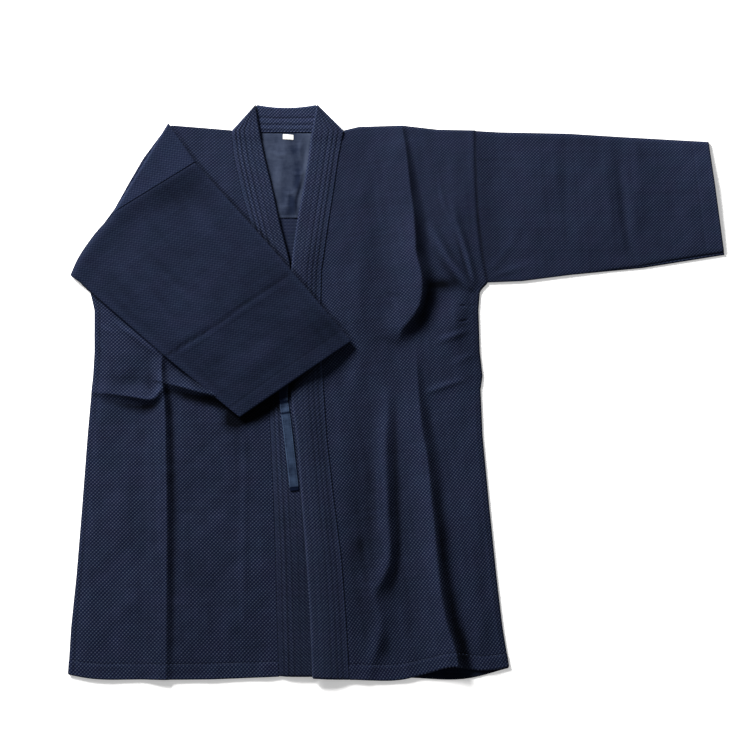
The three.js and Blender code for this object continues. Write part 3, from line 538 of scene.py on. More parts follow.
# Directions and spacings of the grains, as grain_map takes them
STRAIGHT_GRAIN = (0, 5, 90, 5)
BACK_GRAIN = (0, 5.2, 90, 5.0)
NECK_GRAIN = (0, 4.7, 90, 4.7)
LEFT_FRONT_GRAIN = (8, 5.1, 98, 4.8, 0.2)
RIGHT_FRONT_GRAIN = (1.5, 5.4, 91.5, 4.95, 0.145)
LEFT_SLEEVE_GRAIN = (5.2, 4.77, 90.4, 4.3)
FOLDED_GRAIN = (39.5, 4.92, -55.4, 4.92)


def grain_map(x, y, weft_degrees, weft_cell, warp_degrees, warp_cell, loosening=0.0):
    """Cloth coordinates, with the rice grains a set distance apart along weft and warp.

    Loosening is how much closer the grains get with each metre along the warp.
    """
    weft, warp = math.radians(weft_degrees), math.radians(warp_degrees)
    u = x * math.cos(weft) + y * math.sin(weft)
    v = x * math.cos(warp) + y * math.sin(warp)
    v = v + loosening * v * v * MM
    return np.stack([u * GRAIN_CELL / weft_cell, v * GRAIN_CELL / warp_cell], -1)


# Finishes

class Value:
    """A socket of a material. Arithmetic on it adds Math nodes."""

    def __init__(self, finish, socket):
        self.finish = finish
        self.socket = socket

    def math(self, operation, *others):
        return self.finish.node("ShaderNodeMath", {"operation": operation}, [self, *others])

    def __add__(self, other):
        return self.math("ADD", other)

    def __sub__(self, other):
        return self.math("SUBTRACT", other)

    def __mul__(self, other):
        return self.math("MULTIPLY", other)

    def __truediv__(self, other):
        return self.math("DIVIDE", other)

    def __radd__(self, other):
        return self + other

    def __rmul__(self, other):
        return self * other

    def __rsub__(self, other):
        return self.finish.node("ShaderNodeMath", {"operation": "SUBTRACT"}, [other, self])

    def vary(self, strength):
        """A pattern between 0 and 1 as a change either way about nothing."""
        return (self - 0.5) * strength

    def wave(self):
        """A cosine of this angle, between 0 and 1."""
        return self.math("COSINE") * 0.5 + 0.5


class Finish:
    """One procedural material."""

    def __init__(self, name):
        self.material = bpy.data.materials.new(name)
        self.material.use_nodes = True
        self.tree = self.material.node_tree
        self.shader = self.tree.nodes["Principled BSDF"]

    def node(self, kind, settings=None, inputs=(), output=0):
        made = self.tree.nodes.new(kind)
        for key, value in (settings or {}).items():
            setattr(made, key, value)
        pairs = inputs.items() if isinstance(inputs, dict) else enumerate(inputs)
        for key, value in pairs:
            self.join(value, made.inputs[key])
        return Value(self, made.outputs[output])

    def join(self, value, socket):
        if isinstance(value, Value):
            self.tree.links.new(value.socket, socket)
        else:
            socket.default_value = value

    def feed(self, **sockets):
        for name, value in sockets.items():
            self.join(value, self.shader.inputs[name.replace("_", " ")])

    def mix(self, share, a, b, blend="MIX"):
        settings = {"data_type": "RGBA", "blend_type": blend, "clamp_factor": False}
        return self.node("ShaderNodeMix", settings, {0: share, 6: a, 7: b}, 2)

    def cloth_places(self):
        uv = self.node("ShaderNodeUVMap", {"uv_map": "cloth"})
        across = self.node("ShaderNodeSeparateXYZ", None, [uv], 0)
        along = self.node("ShaderNodeSeparateXYZ", None, [uv], 1)
        return uv, across, along

    def measure(self, name):
        return self.node("ShaderNodeAttribute", {"attribute_name": name}, (), 2)

    def noise(self, vector, scale, detail=2.0, roughness=0.5):
        inputs = {"Vector": vector, "Scale": scale, "Detail": detail, "Roughness": roughness}
        return self.node("ShaderNodeTexNoise", None, inputs)

    def object_places(self):
        return self.node("ShaderNodeTexCoord", None, (), 3)

    def bump(self, height, strength, depth):
        """A relief so many millimetres deep."""
        inputs = {"Strength": strength, "Distance": depth * MM, "Height": height}
        return self.node("ShaderNodeBump", None, inputs)

    def stretched(self, vector, factors):
        return self.node("ShaderNodeVectorMath", {"operation": "MULTIPLY"}, [vector, factors])


TURN = 2 * math.pi


# How the rice-grain weave strays from straight rows, in grains, and how large the stray patches
# are. Scales are in waves for each metre of cloth.
SWAY, SWAY_SCALE = 1.6, 7.0
DRIFT, DRIFT_SCALE = 0.3, 40.0
# The shade between grains and ground, and how far single threads and whole rows differ from it
GRAIN_MIDDLE = 0.4
THREAD_SPREAD, THREAD_LEAST = 0.8, 0.6
ROW_SPREAD = 0.05
# How strongly the colour varies: worn places together with painted shade and painted light, small fading,
# broad fading and streaks
WEAR_LIGHT_AND_SHADE, FADING, BROAD_FADING, STREAKS = 0.5, 0.45, 0.35, 0.35
DARKEST_MULTIPLIER = 0.1
LINT, LINT_SCALE = 0.3, 900.0


def dye_variation(f, place, fading):
    """What the colour is multiplied by: the piece's worn places with its painted shade and painted light,
    and an uneven dye.
    """
    broad = f.noise(f.stretched(place, (1.0, 0.45, 1.0)), 5.0, 2.0)
    warp_streaks = f.noise(f.stretched(place, (6.0, 0.5, 1.0)), 22.0, 2.0)
    weft_streaks = f.noise(f.stretched(place, (0.5, 7.0, 1.0)), 24.0, 2.0)
    wear_light_and_shade = 1 + f.measure("wear_light_and_shade") * WEAR_LIGHT_AND_SHADE + fading.vary(FADING) + broad.vary(BROAD_FADING)
    wear_light_and_shade = wear_light_and_shade + (warp_streaks + weft_streaks - 1) * STREAKS
    return wear_light_and_shade.math("MAXIMUM", DARKEST_MULTIPLIER)


def rice_grain(name, light, dark, contrast, diagonal=0.62, rows=0.0, relief=0.55, seed=0.0, dots=0.7):
    """Thick indigo cotton whose raised weft floats stand in offset rows, like grains of rice.

    Diagonal is how far one slanting row outweighs the other, rows how far straight rows show
    instead, and dots how far each grain stands alone. Relief is in millimetres.
    """
    f = Finish(name)
    uv, across, along = f.cloth_places()
    place = f.node("ShaderNodeVectorMath", {"operation": "ADD"}, [uv, (seed, seed * 0.7, 0)])
    sway = f.noise(place, SWAY_SCALE, 1.0).vary(SWAY)
    drift = f.noise(place, DRIFT_SCALE, 1.0).vary(DRIFT)
    p = (across + along) / (GRAIN_CELL * MM) + sway + drift
    q = (across - along) / (GRAIN_CELL * MM) - sway * 0.6 + drift
    wave_p = (p * TURN).wave()
    wave_q = (q * TURN).wave()
    wave_row = ((p - q) * (TURN / 2)).wave()
    strokes = wave_q * diagonal + wave_p * (1 - diagonal)
    grain = strokes * (1.2 - dots) + wave_q * wave_p * dots
    grain = grain * (1 - rows) + wave_row * rows

    cell = f.node("ShaderNodeCombineXYZ", None, [p.math("ROUND"), q.math("ROUND"), 0.0])
    thread = f.node("ShaderNodeTexWhiteNoise", {"noise_dimensions": "2D"}, {"Vector": cell})
    row = f.node("ShaderNodeCombineXYZ", None, [0.0, q.math("ROUND"), 0.0])
    pick = f.node("ShaderNodeTexWhiteNoise", {"noise_dimensions": "2D"}, {"Vector": row})
    lint = f.noise(place, LINT_SCALE, 2.0, 0.7)
    calm = 1 - f.measure("calm")
    thread_shade = thread * THREAD_SPREAD + THREAD_LEAST
    shade = (grain - GRAIN_MIDDLE) * contrast * calm * thread_shade + GRAIN_MIDDLE + pick.vary(ROW_SPREAD)
    shade = (shade * (1 + lint.vary(LINT))).math("MAXIMUM", 0.0)

    fading = f.noise(place, 14.0, 4.0, 0.6)
    hue = f.noise(place, 30.0, 3.0)
    purple = (light[0] * 1.12, light[1] * 0.96, light[2] * 1.04, 1)
    teal = (light[0] * 0.88, light[1] * 1.05, light[2] * 0.98, 1)
    colour = f.mix(shade, dark, f.mix(hue.vary(1.2) + 0.5, purple, teal))
    colour = f.mix(1.0, colour, dye_variation(f, place, fading), "MULTIPLY")

    height = grain + lint * 0.22 + thread.vary(0.18)
    bump = f.bump(height, 0.85, relief)
    f.feed(Base_Color=colour, Normal=bump, Roughness=0.86 + fading.vary(0.12) - grain * 0.08)
    f.feed(Sheen_Weight=0.02, Sheen_Roughness=0.5, Specular_IOR_Level=0.02)
    f.shader.inputs["Sheen Tint"].default_value = (0.5, 0.6, 1.0, 1)
    return f.material


def plain_cotton(name, light, dark, thread=0.6, streak=1.0):
    """Smooth plain-woven cotton with soft slubs, its threads so many millimetres apart."""
    f = Finish(name)
    uv, across, along = f.cloth_places()
    warp = (across * (TURN / (thread * MM))).math("SINE") * 0.5 + 0.5
    weft = (along * (TURN / (thread * MM))).math("SINE") * 0.5 + 0.5
    slub = f.noise(f.stretched(uv, (1.0, 9.0, 1.0)), 60.0 * streak, 3.0, 0.6)
    patches = f.noise(f.stretched(uv, (1.0, 0.6, 1.0)), 48.0, 4.0, 0.62)
    lint = f.noise(uv, 1200.0, 2.0)
    shade = 0.5 + slub.vary(0.5) + patches.vary(1.7) + lint.vary(0.2) + (warp + weft - 1) * 0.06
    # Wear with painted shade and painted light, from each point's measure
    shade = shade + f.measure("wear_light_and_shade") * 0.45
    colour = f.mix(shade.math("MAXIMUM", 0.0).math("MINIMUM", 1.0), dark, light)
    bump = f.bump(warp * 0.5 + weft * 0.5 + slub * 0.7, 0.5, 0.15)
    f.feed(Base_Color=colour, Normal=bump, Roughness=0.7 + slub.vary(0.2))
    f.feed(Sheen_Weight=0.01, Sheen_Roughness=0.5, Specular_IOR_Level=0.02)
    return f.material


def thread_finish(name, light, dark):
    """Twisted sewing thread."""
    f = Finish(name)
    place = f.object_places()
    twist = f.noise(place, 2500.0, 2.0)
    patches = f.noise(place, 60.0, 2.0)
    f.feed(Base_Color=f.mix(twist * 0.6 + patches * 0.4, dark, light), Roughness=0.7 + twist * 0.2)
    f.feed(Specular_IOR_Level=0.02)
    return f.material


# The white table is lit from below as well, so shadows on it stay pale
FLOOR_GLOW = 0.3


def floor_finish():
    f = Finish("white_table")
    patches = f.noise(f.object_places(), 3.0)
    f.feed(Base_Color=f.mix(patches, (0.93, 0.93, 0.93, 1), (0.96, 0.96, 0.96, 1)), Roughness=0.9)
    f.feed(Emission_Color=(1, 1, 1, 1), Emission_Strength=FLOOR_GLOW)
    return f.material


INDIGO = (0.0205, 0.0262, 0.0455, 1)
INDIGO_SHADE = (0.0014, 0.0030, 0.0138, 1)
# The turned sleeve's indigo is a darker copy of the body's: painted shade
TURNED_INDIGO = (0.0138, 0.0184, 0.0332, 1)
TURNED_SHADE = (0.0009, 0.0021, 0.0102, 1)
LINING_BLUE = (0.0350, 0.0450, 0.0740, 1)
LINING_SHADE = (0.0060, 0.0095, 0.0220, 1)
TAPE_BLUE = (0.0350, 0.0560, 0.1020, 1)
TAPE_SHADE = (0.0018, 0.0040, 0.0130, 1)
THREAD_BLUE = (0.0150, 0.0200, 0.0400, 1)
THREAD_SHADE = (0.0030, 0.0050, 0.0140, 1)
PALE_BLUE = (0.036, 0.047, 0.085, 1)
PALE_SHADE = (0.014, 0.020, 0.040, 1)
LABEL_WHITE = (0.80, 0.80, 0.78, 1)
LABEL_SHADE = (0.62, 0.62, 0.60, 1)

BODY_CLOTH = rice_grain("rice_grain_body", INDIGO, INDIGO_SHADE, 1.3)
SLEEVE_CLOTH = rice_grain("rice_grain_sleeve", INDIGO, INDIGO_SHADE, 0.95,
                          diagonal=0.6, relief=0.5, seed=3.1)
FOLDED_CLOTH = rice_grain("rice_grain_turned_sleeve", TURNED_INDIGO, TURNED_SHADE, 0.52,
                          diagonal=0.6, rows=0.2, relief=0.35, seed=5.3)
BAND_CLOTH = rice_grain("rice_grain_band", INDIGO, INDIGO_SHADE, 1.2,
                        diagonal=0.74, relief=0.45, seed=7.9, dots=0.55)
INSIDE_CLOTH = rice_grain("rice_grain_inside", INDIGO, INDIGO_SHADE, 0.4,
                          diagonal=0.55, rows=0.5, relief=0.25, seed=9.7)
LINING_CLOTH = plain_cotton("lining_cotton", LINING_BLUE, LINING_SHADE)
TAPE_CLOTH = plain_cotton("tie_cotton", TAPE_BLUE, TAPE_SHADE, thread=0.7, streak=0.6)
LABEL_CLOTH = plain_cotton("label_satin", LABEL_WHITE, LABEL_SHADE, thread=0.35)
THREAD = thread_finish("sewing_thread", THREAD_BLUE, THREAD_SHADE)
PALE_THREAD = thread_finish("hem_thread", PALE_BLUE, PALE_SHADE)


# Body panels

CALM_MOST, CALM_FROM_Y, CALM_RISE = 0.42, 60, 220


def set_calm(panel):
    """The weave shows less toward the shoulder, where the grains are pulled tight."""
    points = np.empty(len(panel.data.vertices) * 3)
    panel.data.vertices.foreach_get("co", points)
    set_measure(panel, "calm", CALM_MOST * smooth((points[1::3] / MM - CALM_FROM_Y) / CALM_RISE))


def bent_y(y, x, hem):
    shoulder = np.interp(x, *np.array(SHOULDER_RISE, float).T) * (1 - smooth((SHOULDER_Y - y) / END_BEND))
    drop = curve(hem, 1, x) * (1 - smooth((y - HEM_Y) / END_BEND))
    return y + shoulder - drop


# Rows of the panels' grids, closer at the hem's stitching, the shoulder and the small folds
ROW_STEP = 2.7
FINE_ROWS = ((HEM_Y, 5, 1.0), (HEM_Y + HEM_WIDTH, 4, 0.9), (SHOULDER_Y, 5, 1.0))
WAIST_FOLD_ROWS = (2, 26, 1.4)
ARMPIT_ROWS = (127, 27, 1.2)
BODY_ROWS = spaced(HEM_Y, SHOULDER_Y, ROW_STEP, FINE_ROWS)
RIGHT_FRONT_ROWS = spaced(HEM_Y, SHOULDER_Y, ROW_STEP, (*FINE_ROWS, WAIST_FOLD_ROWS))
LEFT_FRONT_ROWS = spaced(HEM_Y, SHOULDER_Y, ROW_STEP, (*FINE_ROWS, ARMPIT_ROWS))

EDGE_SHARES = np.array([0, 0.006, 0.014, 0.026, 0.045, 0.07])
CREASE_FROM, CREASE_TO = 0.9, 1.22


def creased_columns():
    """Shares from 0 at the start to 1 at the crease and 2 at the end, closer at all three."""
    return np.concatenate([
        EDGE_SHARES,
        np.linspace(EDGE_SHARES[-1], CREASE_FROM, 40)[1:],
        np.linspace(CREASE_FROM, 1, 9)[1:],
        np.linspace(1, CREASE_TO, 18)[1:],
        np.linspace(CREASE_TO, 2 - EDGE_SHARES[-1], 34)[1:],
        2 - EDGE_SHARES[-2::-1],
    ])


def creased_x(shares, start, crease, end):
    before = start + (crease - start) * np.minimum(shares, 1)
    return before + (end - crease) * np.maximum(shares - 1, 0)


def hem_relief(y):
    """The turned-up hem: a second layer below a sunk row of stitching."""
    up = y - HEM_Y
    layer = 0.9 * (1 - smooth((up - HEM_WIDTH + 1.5) / 3))
    return layer - 0.55 * groove(up, HEM_WIDTH, 1.4) - 0.5 * groove(up, 0, 1.2)


def hem_wear_and_shade(y, edge_fading):
    """Faded along the hem's fold, with painted shade where the stitching sinks."""
    return edge_fading * groove(y - HEM_Y, 0, 3) - 0.5 * groove(y - HEM_Y, HEM_WIDTH, 1.5)


# Lengths of the waves in a panel's unevenness, and how far in from an edge they are full
BROAD_WAVE, SMALL_WAVE = 80, 34
EDGE_REACH = 22


def panel_softness(x, y, seed):
    broad = unevenness(x, y * 0.5, seed, BROAD_WAVE)
    return 0.75 * broad + 0.25 * unevenness(x, y, seed + 1, SMALL_WAVE)


def off_edges(x, start, end):
    return smooth((x - start) / EDGE_REACH) * smooth((end - x) / EDGE_REACH)


# The left front climbs a little over the lap, and its side seam runs beside its edge
LAP_CLIMB, LAP_CLIMB_REACH = 1.4, 70
LEFT_SEAM_IN = 5
LEFT_SIDE_REACH = 38
SHOULDER_ROUND = 3.0


def left_front_places():
    shares, y = np.meshgrid(creased_columns(), LEFT_FRONT_ROWS[::-1])
    start = collar_x(4, y) + SEAM_GAP
    end = side_x(2, y)
    x = creased_x(shares, start, curve(MAIN_CREASES, 2, y), end)
    return x, y, start, end


def left_front_top(x, y, start, end):
    beside = LAP_CLIMB * (1 - smooth((x - start) / LAP_CLIMB_REACH))
    loft = lofts_rise(LEFT_FRONT_LOFTS, x, y) * smooth((end - x) / LEFT_SIDE_REACH)
    rise = folds_rise(LEFT_FRONT_FOLDS, x, y) + loft
    inside = off_edges(x, start, end) * smooth((SHOULDER_Y - y) / 30)
    height = FRONT_REST + beside + np.maximum(rise + (panel_softness(x, y, 3) + 0.6) * inside, 0)
    stitching = 0.8 * groove(end - x, LEFT_SEAM_IN, 1.4) * smooth((170 - y) / 20)
    seam = stitching + 0.9 * groove(end - x, 0, 1.8)
    height = height + CLOTH + hem_relief(y) - seam * smooth((y - HEM_Y) / 8)
    drop = 1 - rounded(SHOULDER_Y - y, SHOULDER_ROUND)
    return height * (1 - drop) + (FRONT_REST + 0.6) * drop


def left_front_panel():
    x, y, start, end = left_front_places()
    over = left_front_top(x, y, start, end)
    under = over - CLOTH - np.maximum(hem_relief(y), 0)
    true_y = bent_y(y, x, LEFT_HEM_DROP)
    # Painted shade on the side edge, which faces away from the lamp, and in the side seam's groove, lighter
    # just inside the edge; then the crests, tables and lines
    wear_light_and_shade = hem_wear_and_shade(y, 0.5) + 0.3 * groove(end - x, 8, 3) - 0.7 * groove(end - x, 0, 2.6)
    wear_light_and_shade = wear_light_and_shade - 0.5 * groove(end - x, LEFT_SEAM_IN, 1.3) * smooth((150 - y) / 20)
    wear_light_and_shade = wear_light_and_shade + 0.3 * crests(over) + lofts_rise(LEFT_FRONT_SHADE_AND_LIGHT, x, y)
    wear_light_and_shade = wear_light_and_shade + folds_rise(LEFT_FRONT_SHADE_LINES, x, y)
    uv = grain_map(x, true_y, *LEFT_FRONT_GRAIN)
    piece = cloth_shell("left_front_cloth", x, true_y, under, over, uv, BODY_CLOTH, wear_light_and_shade)
    set_calm(piece)
    return piece


# Above the underarm the back and the right front draw in, under the fold of the sleeve
FOLD_INSET = 3.5
RIGHT_SEAM_IN = 6.5
RIGHT_SIDE_REACH = 26


def right_side(y):
    return side_x(1, y) + FOLD_INSET * smooth((y - 150) / 20)


def right_front_ends(y):
    return right_side(y), collar_x(1, y) - SEAM_GAP


def right_front_top(x, y):
    start, end = right_front_ends(y)
    loft = lofts_rise(RIGHT_FRONT_LOFTS, x, y) * smooth((x - start) / RIGHT_SIDE_REACH)
    rise = folds_rise(RIGHT_FRONT_FOLDS, x, y) + loft
    inside = off_edges(x, start, end) * smooth((100 - y) / 60)
    seam = 0.7 * groove(x - start, RIGHT_SEAM_IN, 1.3) + 0.5 * groove(x - start, 0, 1.5)
    soft = panel_softness(x, y, 13)
    over = FRONT_TOP + np.maximum(rise + (soft + 0.5) * inside, 0) + hem_relief(y)
    return over - seam * smooth((UNDERARM_Y - y) / 10) * smooth((y - HEM_Y) / 8)


def right_front_panel():
    shares, y = np.meshgrid(creased_columns(), RIGHT_FRONT_ROWS[::-1])
    start, end = right_front_ends(y)
    x = creased_x(shares, start, curve(MAIN_CREASES, 1, y), end)
    over = right_front_top(x, y)
    under = over - CLOTH - np.maximum(hem_relief(y), 0)
    true_y = bent_y(y, x, RIGHT_HEM_DROP)
    # Lighter along the side edge and painted shade in the side seam's groove; then the crests, tables and
    # lines
    wear_light_and_shade = hem_wear_and_shade(y, 0.6) + 0.35 * groove(x - start, 3, 3)
    wear_light_and_shade = wear_light_and_shade + 0.2 * groove(x - start, 10, 7) * smooth((60 - y) / 60)
    wear_light_and_shade = wear_light_and_shade - 0.6 * groove(x - start, RIGHT_SEAM_IN, 1.3) * smooth((150 - y) / 20)
    wear_light_and_shade = wear_light_and_shade + 0.3 * crests(over) + lofts_rise(RIGHT_FRONT_SHADE_AND_LIGHT, x, y)
    wear_light_and_shade = wear_light_and_shade + folds_rise(RIGHT_FRONT_SHADE_LINES, x, y)
    uv = grain_map(x, true_y, *RIGHT_FRONT_GRAIN)
    piece = cloth_shell("right_front_cloth", x, true_y, under, over, uv, BODY_CLOTH, wear_light_and_shade)
    set_calm(piece)
    return piece


# The back's top edge runs below the neck band between these two places
NECK_FROM_X, NECK_TO_X = -243, -72


def back_panel():
    shares, y = np.meshgrid(np.linspace(0, 1, 60), BODY_ROWS[::-1])
    start = right_side(y)
    x = start + (side_x(2, y) - start) * shares
    true_y = bent_y(y, x, BACK_HEM_DROP)
    at_neck = (x > NECK_FROM_X) & (x < NECK_TO_X)
    true_y = np.where(at_neck, np.minimum(true_y, NECK_SEAM_Y - SEAM_GAP), true_y)
    over = CLOTH - 0.3 * groove(y - HEM_Y, 0, 2)
    uv = grain_map(x, true_y, *BACK_GRAIN)
    # Painted shadow on the strip of the back that shows below the fronts' hems
    wear_light_and_shade = -1.3 * (1 - smooth((y - HEM_Y) / 30))
    piece = cloth_shell("back_cloth", x, true_y, 0 * x, over, uv, BODY_CLOTH, wear_light_and_shade)
    piece.data.materials.append(INSIDE_CLOTH)
    facing = np.empty(len(piece.data.polygons) * 3)
    piece.data.polygons.foreach_get("normal", facing)
    piece.data.polygons.foreach_set("material_index", (facing[2::3] > 0.5).astype(np.int32))
    return piece


# Collar band: folded over and quilted with five rows of stitching

STITCH_ROWS = (0.18, 0.35, 0.54, 0.70, 0.84)
ROW_DEPTHS = (0.25, 0.45, 0.85, 1.0, 1.0)
LAP_STARTS_Y, LAP_FULL_Y, LAP_SHARE = 250, 195, 0.3
PEAK_CLEAR_Y, PEAK_OVER_Y = 376, 362
BAND_ROWS = spaced(HEM_Y, NECK_TOP_Y - 0.6, 3.0, ((HEM_Y, 5, 1.0), (NECK_TOP_Y - 3, 8, 1.2)))
# Columns of a band's grid: even ones, one at each side of a row of stitches, and the edges
BESIDE_ROW = 0.012
STITCH_SHARES = [row + side for row in STITCH_ROWS for side in (-BESIDE_ROW, BESIDE_ROW)]
BAND_SHARES = np.unique(np.round([*np.linspace(0, 1, 41), *STITCH_SHARES, 0.01, 0.99], 4))
# How far below the hem line each band ends, at its inner and its outer edge
BAND_HEM_DROPS = {"left": (7.0, 9.5), "right": (5.0, 5.0)}
# Seeds of the puckers, how far the outer edge leans down, how bright the painted highlight along it is, and
# how dark the painted shade at the rows
BAND_SEEDS = {"left": 20, "right": 24}
BAND_LEANS = {"left": 1.0, "right": 2.3}
OUTER_EDGE_HIGHLIGHT = {"left": 1.7, "right": 0.15}
ROW_SHADES = {"left": 0.8, "right": 1.6}
LEAN_FROM = 0.7
STITCH_GROOVE = 1.1
PEAK_TURNED_OVER = 4


def band_rest(side, y, share):
    if side == "left":
        lap = smooth((LAP_STARTS_Y - y) / (LAP_STARTS_Y - LAP_FULL_Y))
        inner = BAND_REST + (LAP_REST - BAND_REST) * lap
        outer = BAND_REST + (FRONT_REST + LAP_CLIMB - BAND_REST) * lap
    else:
        inner = BAND_REST + 0 * y
        outer = FRONT_REST + SEAM_GAP + 0 * y
    rest = inner + (outer - inner) * smooth((share - LAP_SHARE) / (1 - LAP_SHARE))
    return rest + (PEAK_REST - rest) * smooth((y - PEAK_OVER_Y) / (PEAK_CLEAR_Y - PEAK_OVER_Y))


def stitched_depth(y):
    """The rows sink deepest where the band bends around the neck."""
    return 0.55 + 0.45 * smooth((y - 90) / 200)


def band_relief(share, width, y, side):
    """Pillows between the rows of stitching, rounded at the folded edges."""
    seed = BAND_SEEDS[side]
    distance = share * width
    rows = zip(STITCH_ROWS, ROW_DEPTHS)
    low = sum(deep * groove(distance, row * width, STITCH_GROOVE) for row, deep in rows)
    low = low * stitched_depth(y)
    pucker = 0.16 * unevenness(distance * 2.2, y, seed, 9) + 0.14 * unevenness(distance, y, seed + 1, 40)
    edge = np.minimum(rounded(distance, 2.4), 0.35 + 0.65 * rounded((1 - share) * width, 3.0))
    pillows = QUILT_RISE * (1 - 0.9 * np.clip(low, 0, 1)) + pucker
    lean = BAND_LEANS[side] * smooth((share - LEAN_FROM) / (1 - LEAN_FROM))
    return BAND * (0.35 + 0.65 * edge) + pillows * edge - lean


def band_place(side, share, y):
    columns = (3, 4) if side == "left" else (2, 1)
    inner, outer = (collar_x(column, y) for column in columns)
    return inner + (outer - inner) * share, np.abs(outer - inner)


def past_shoulder(y):
    """0 below the shoulder line, 1 where the band has turned over it."""
    return np.clip((y - SHOULDER_Y + 2) / PEAK_TURNED_OVER, 0, 1)


def band_true_y(side, y, share):
    inner, outer = BAND_HEM_DROPS[side]
    return y - (inner + (outer - inner) * share) * (1 - smooth((y - HEM_Y) / END_BEND))


def band_top(side, share, y):
    x, width = band_place(side, share, y)
    top = band_rest(side, y, share) + band_relief(share, width, y, side)
    past = past_shoulder(y)
    turned_down = rounded((1 - share) * width * 0.75, 4.5)
    return top * (1 - past) + (0.5 + (top - 0.5) * turned_down) * past


def collar_band(side):
    share, y = np.meshgrid(BAND_SHARES, BAND_ROWS[::-1])
    x, width = band_place(side, share, y)
    over = band_top(side, share, y)
    over = over - 1.1 * groove(y - HEM_Y, 0, 1.4)
    past = past_shoulder(y) * (1 - rounded((1 - share) * width, 3.0))
    under = np.minimum(band_rest(side, y, share) * (1 - past) + 0.2 * past, over - 0.25)
    true_y = band_true_y(side, y, share)
    distance = share * width
    # Lighter along the inner edge, and a painted highlight along the outer fold
    wear_light_and_shade = 0.1 + 0.5 * groove(distance, 0, 2.5)
    wear_light_and_shade = wear_light_and_shade + OUTER_EDGE_HIGHLIGHT[side] * groove(distance, width - 2.2, 1.1)
    # Painted shade in each sunk row of stitching and painted light on the pillow beside it
    for row, deep in zip(STITCH_ROWS, ROW_DEPTHS):
        beside = 0.35 * groove(distance, row * width + 3.0, 1.6) - 0.8 * groove(distance, row * width, 1.0)
        wear_light_and_shade = wear_light_and_shade + beside * deep * stitched_depth(y) * ROW_SHADES[side]
    # Darker toward the neck, painted shade just inside the outer highlight, and the folded sleeve's painted
    # shadow
    wear_light_and_shade = wear_light_and_shade - 0.12 * smooth((y - 120) / 100) - 0.3 * groove((1 - share) * width, 4.2, 1.5)
    wear_light_and_shade = wear_light_and_shade + folds_rise(SLEEVE_SHADE, x, y)
    # The right band darker toward the hem
    if side == "right":
        wear_light_and_shade = wear_light_and_shade - 0.45 * smooth((-60 - y) / 160)
    uv = np.stack([distance * 0.96, true_y], -1)
    piece = cloth_shell(side + "_collar_cloth", x, true_y, under, over, uv, BAND_CLOTH, wear_light_and_shade, BAND_BULGE)
    calm = 0.6 * smooth((7 - (1 - share) * width) / 4).ravel()
    set_measure(piece, "calm", np.resize(calm, len(piece.data.vertices)))
    return piece


# The neck band's two ends tuck under the peaks: its x at the top edge and at the seam
NECK_RIGHT = (-204, -238)
NECK_LEFT = (-115, -77)
NECK_TUCK = 3.0
NECK_STITCH_ROWS = (0.42, 0.68, 0.9)


def neck_band():
    share, along = np.meshgrid(np.linspace(0, 1, 90), np.linspace(0, 1, 44))
    start = NECK_RIGHT[0] + (NECK_RIGHT[1] - NECK_RIGHT[0]) * along + NECK_TUCK
    end = NECK_LEFT[0] + (NECK_LEFT[1] - NECK_LEFT[0]) * along - NECK_TUCK
    x = start + (end - start) * share
    dip = NECK_DIP * 4 * share * (1 - share) * (1 - along)
    y = NECK_TOP_Y + (NECK_SEAM_Y - NECK_TOP_Y) * along - dip
    width = NECK_TOP_Y - NECK_SEAM_Y
    distance = along * width
    low = sum(groove(distance, row * width, 1.3) for row in NECK_STITCH_ROWS)
    beside = sum(groove(distance, row * width + 4, 2.2) for row in NECK_STITCH_ROWS)
    edge = np.minimum(rounded(distance, 3.0), rounded(width - distance, 1.6))
    pillows = QUILT_RISE * (1 - 0.85 * np.clip(low, 0, 1)) + 0.14 * unevenness(x, y * 2, 31, 9)
    over = 0.4 + (BAND - 0.4) * edge + pillows * edge
    # Lighter at the top edge; painted shade in the sunk rows of stitching and painted light on the pillows
    # beside them
    wear_light_and_shade = 0.5 + 0.5 * groove(distance, 0, 3) - 0.7 * low + 0.6 * beside
    uv = grain_map(x, y, *NECK_GRAIN)
    return cloth_shell("neck_collar_cloth", x, y, 0 * x, over, uv, BAND_CLOTH, wear_light_and_shade, FOLDED_BULGE)


# Lining, label and tie

LINING_CREASES = (
    (0.2, ((-137, 372, 0, 6, 6), (-140, 350, 1.0, 6, 6), (-137, 330, 0, 6, 6))),
    (0.3, ((-134, 330, 0, 8, 5), (-140, 306, 1.4, 8, 5), (-148, 280, 1.6, 8, 5), (-146, 252, 0.8, 8, 5))),
    (0.1, ((-152, 300, 0, 8, 8), (-158, 280, 0.8, 8, 8), (-160, 256, 0.6, 8, 8))),
    (0.3, ((-186, 352, 0, 5, 6), (-170, 344, 0.8, 5, 6), (-150, 350, 0, 5, 6))),
    (0.4, ((-152, 318, 0, 3, 5), (-142, 316, 1.0, 3, 5), (-132, 319, 0, 3, 5))),
    (0.4, ((-166, 290, 0, 3, 5), (-154, 288, 0.9, 3, 5), (-142, 292, 0, 3, 5))),
    (0.3, ((-170, 268, 0, 4, 5), (-156, 270, 0.8, 4, 5), (-144, 266, 0, 4, 5))),
)
# Painted shade beside the lining's creases and along the collar, and painted light, laid into its colour
LINING_SHADE_AND_LIGHT = (
    (-150, 352, -1.1, 9, 8), (-143, 308, -1.5, 6, 18), (-149, 268, -1.3, 8, 14),
    (-160, 270, -0.5, 14, 16), (-174, 330, 0.3, 12, 40), (-131, 345, 0.6, 4, 30),
    (-165, 366, -0.4, 30, 4),
)


def lining_top(x, y):
    soft = 0.25 * (1 + unevenness(x, y, 41, 30))
    foot = y - LINING_FOOT_Y
    hem = 0.2 * (1 - smooth((foot - 2.5) / 1.5)) - 0.7 * groove(foot, 0, 5)
    return LINING_TOP + soft * smooth(foot / 12) + np.minimum(folds_rise(LINING_CREASES, x, y), 1.4) + hem


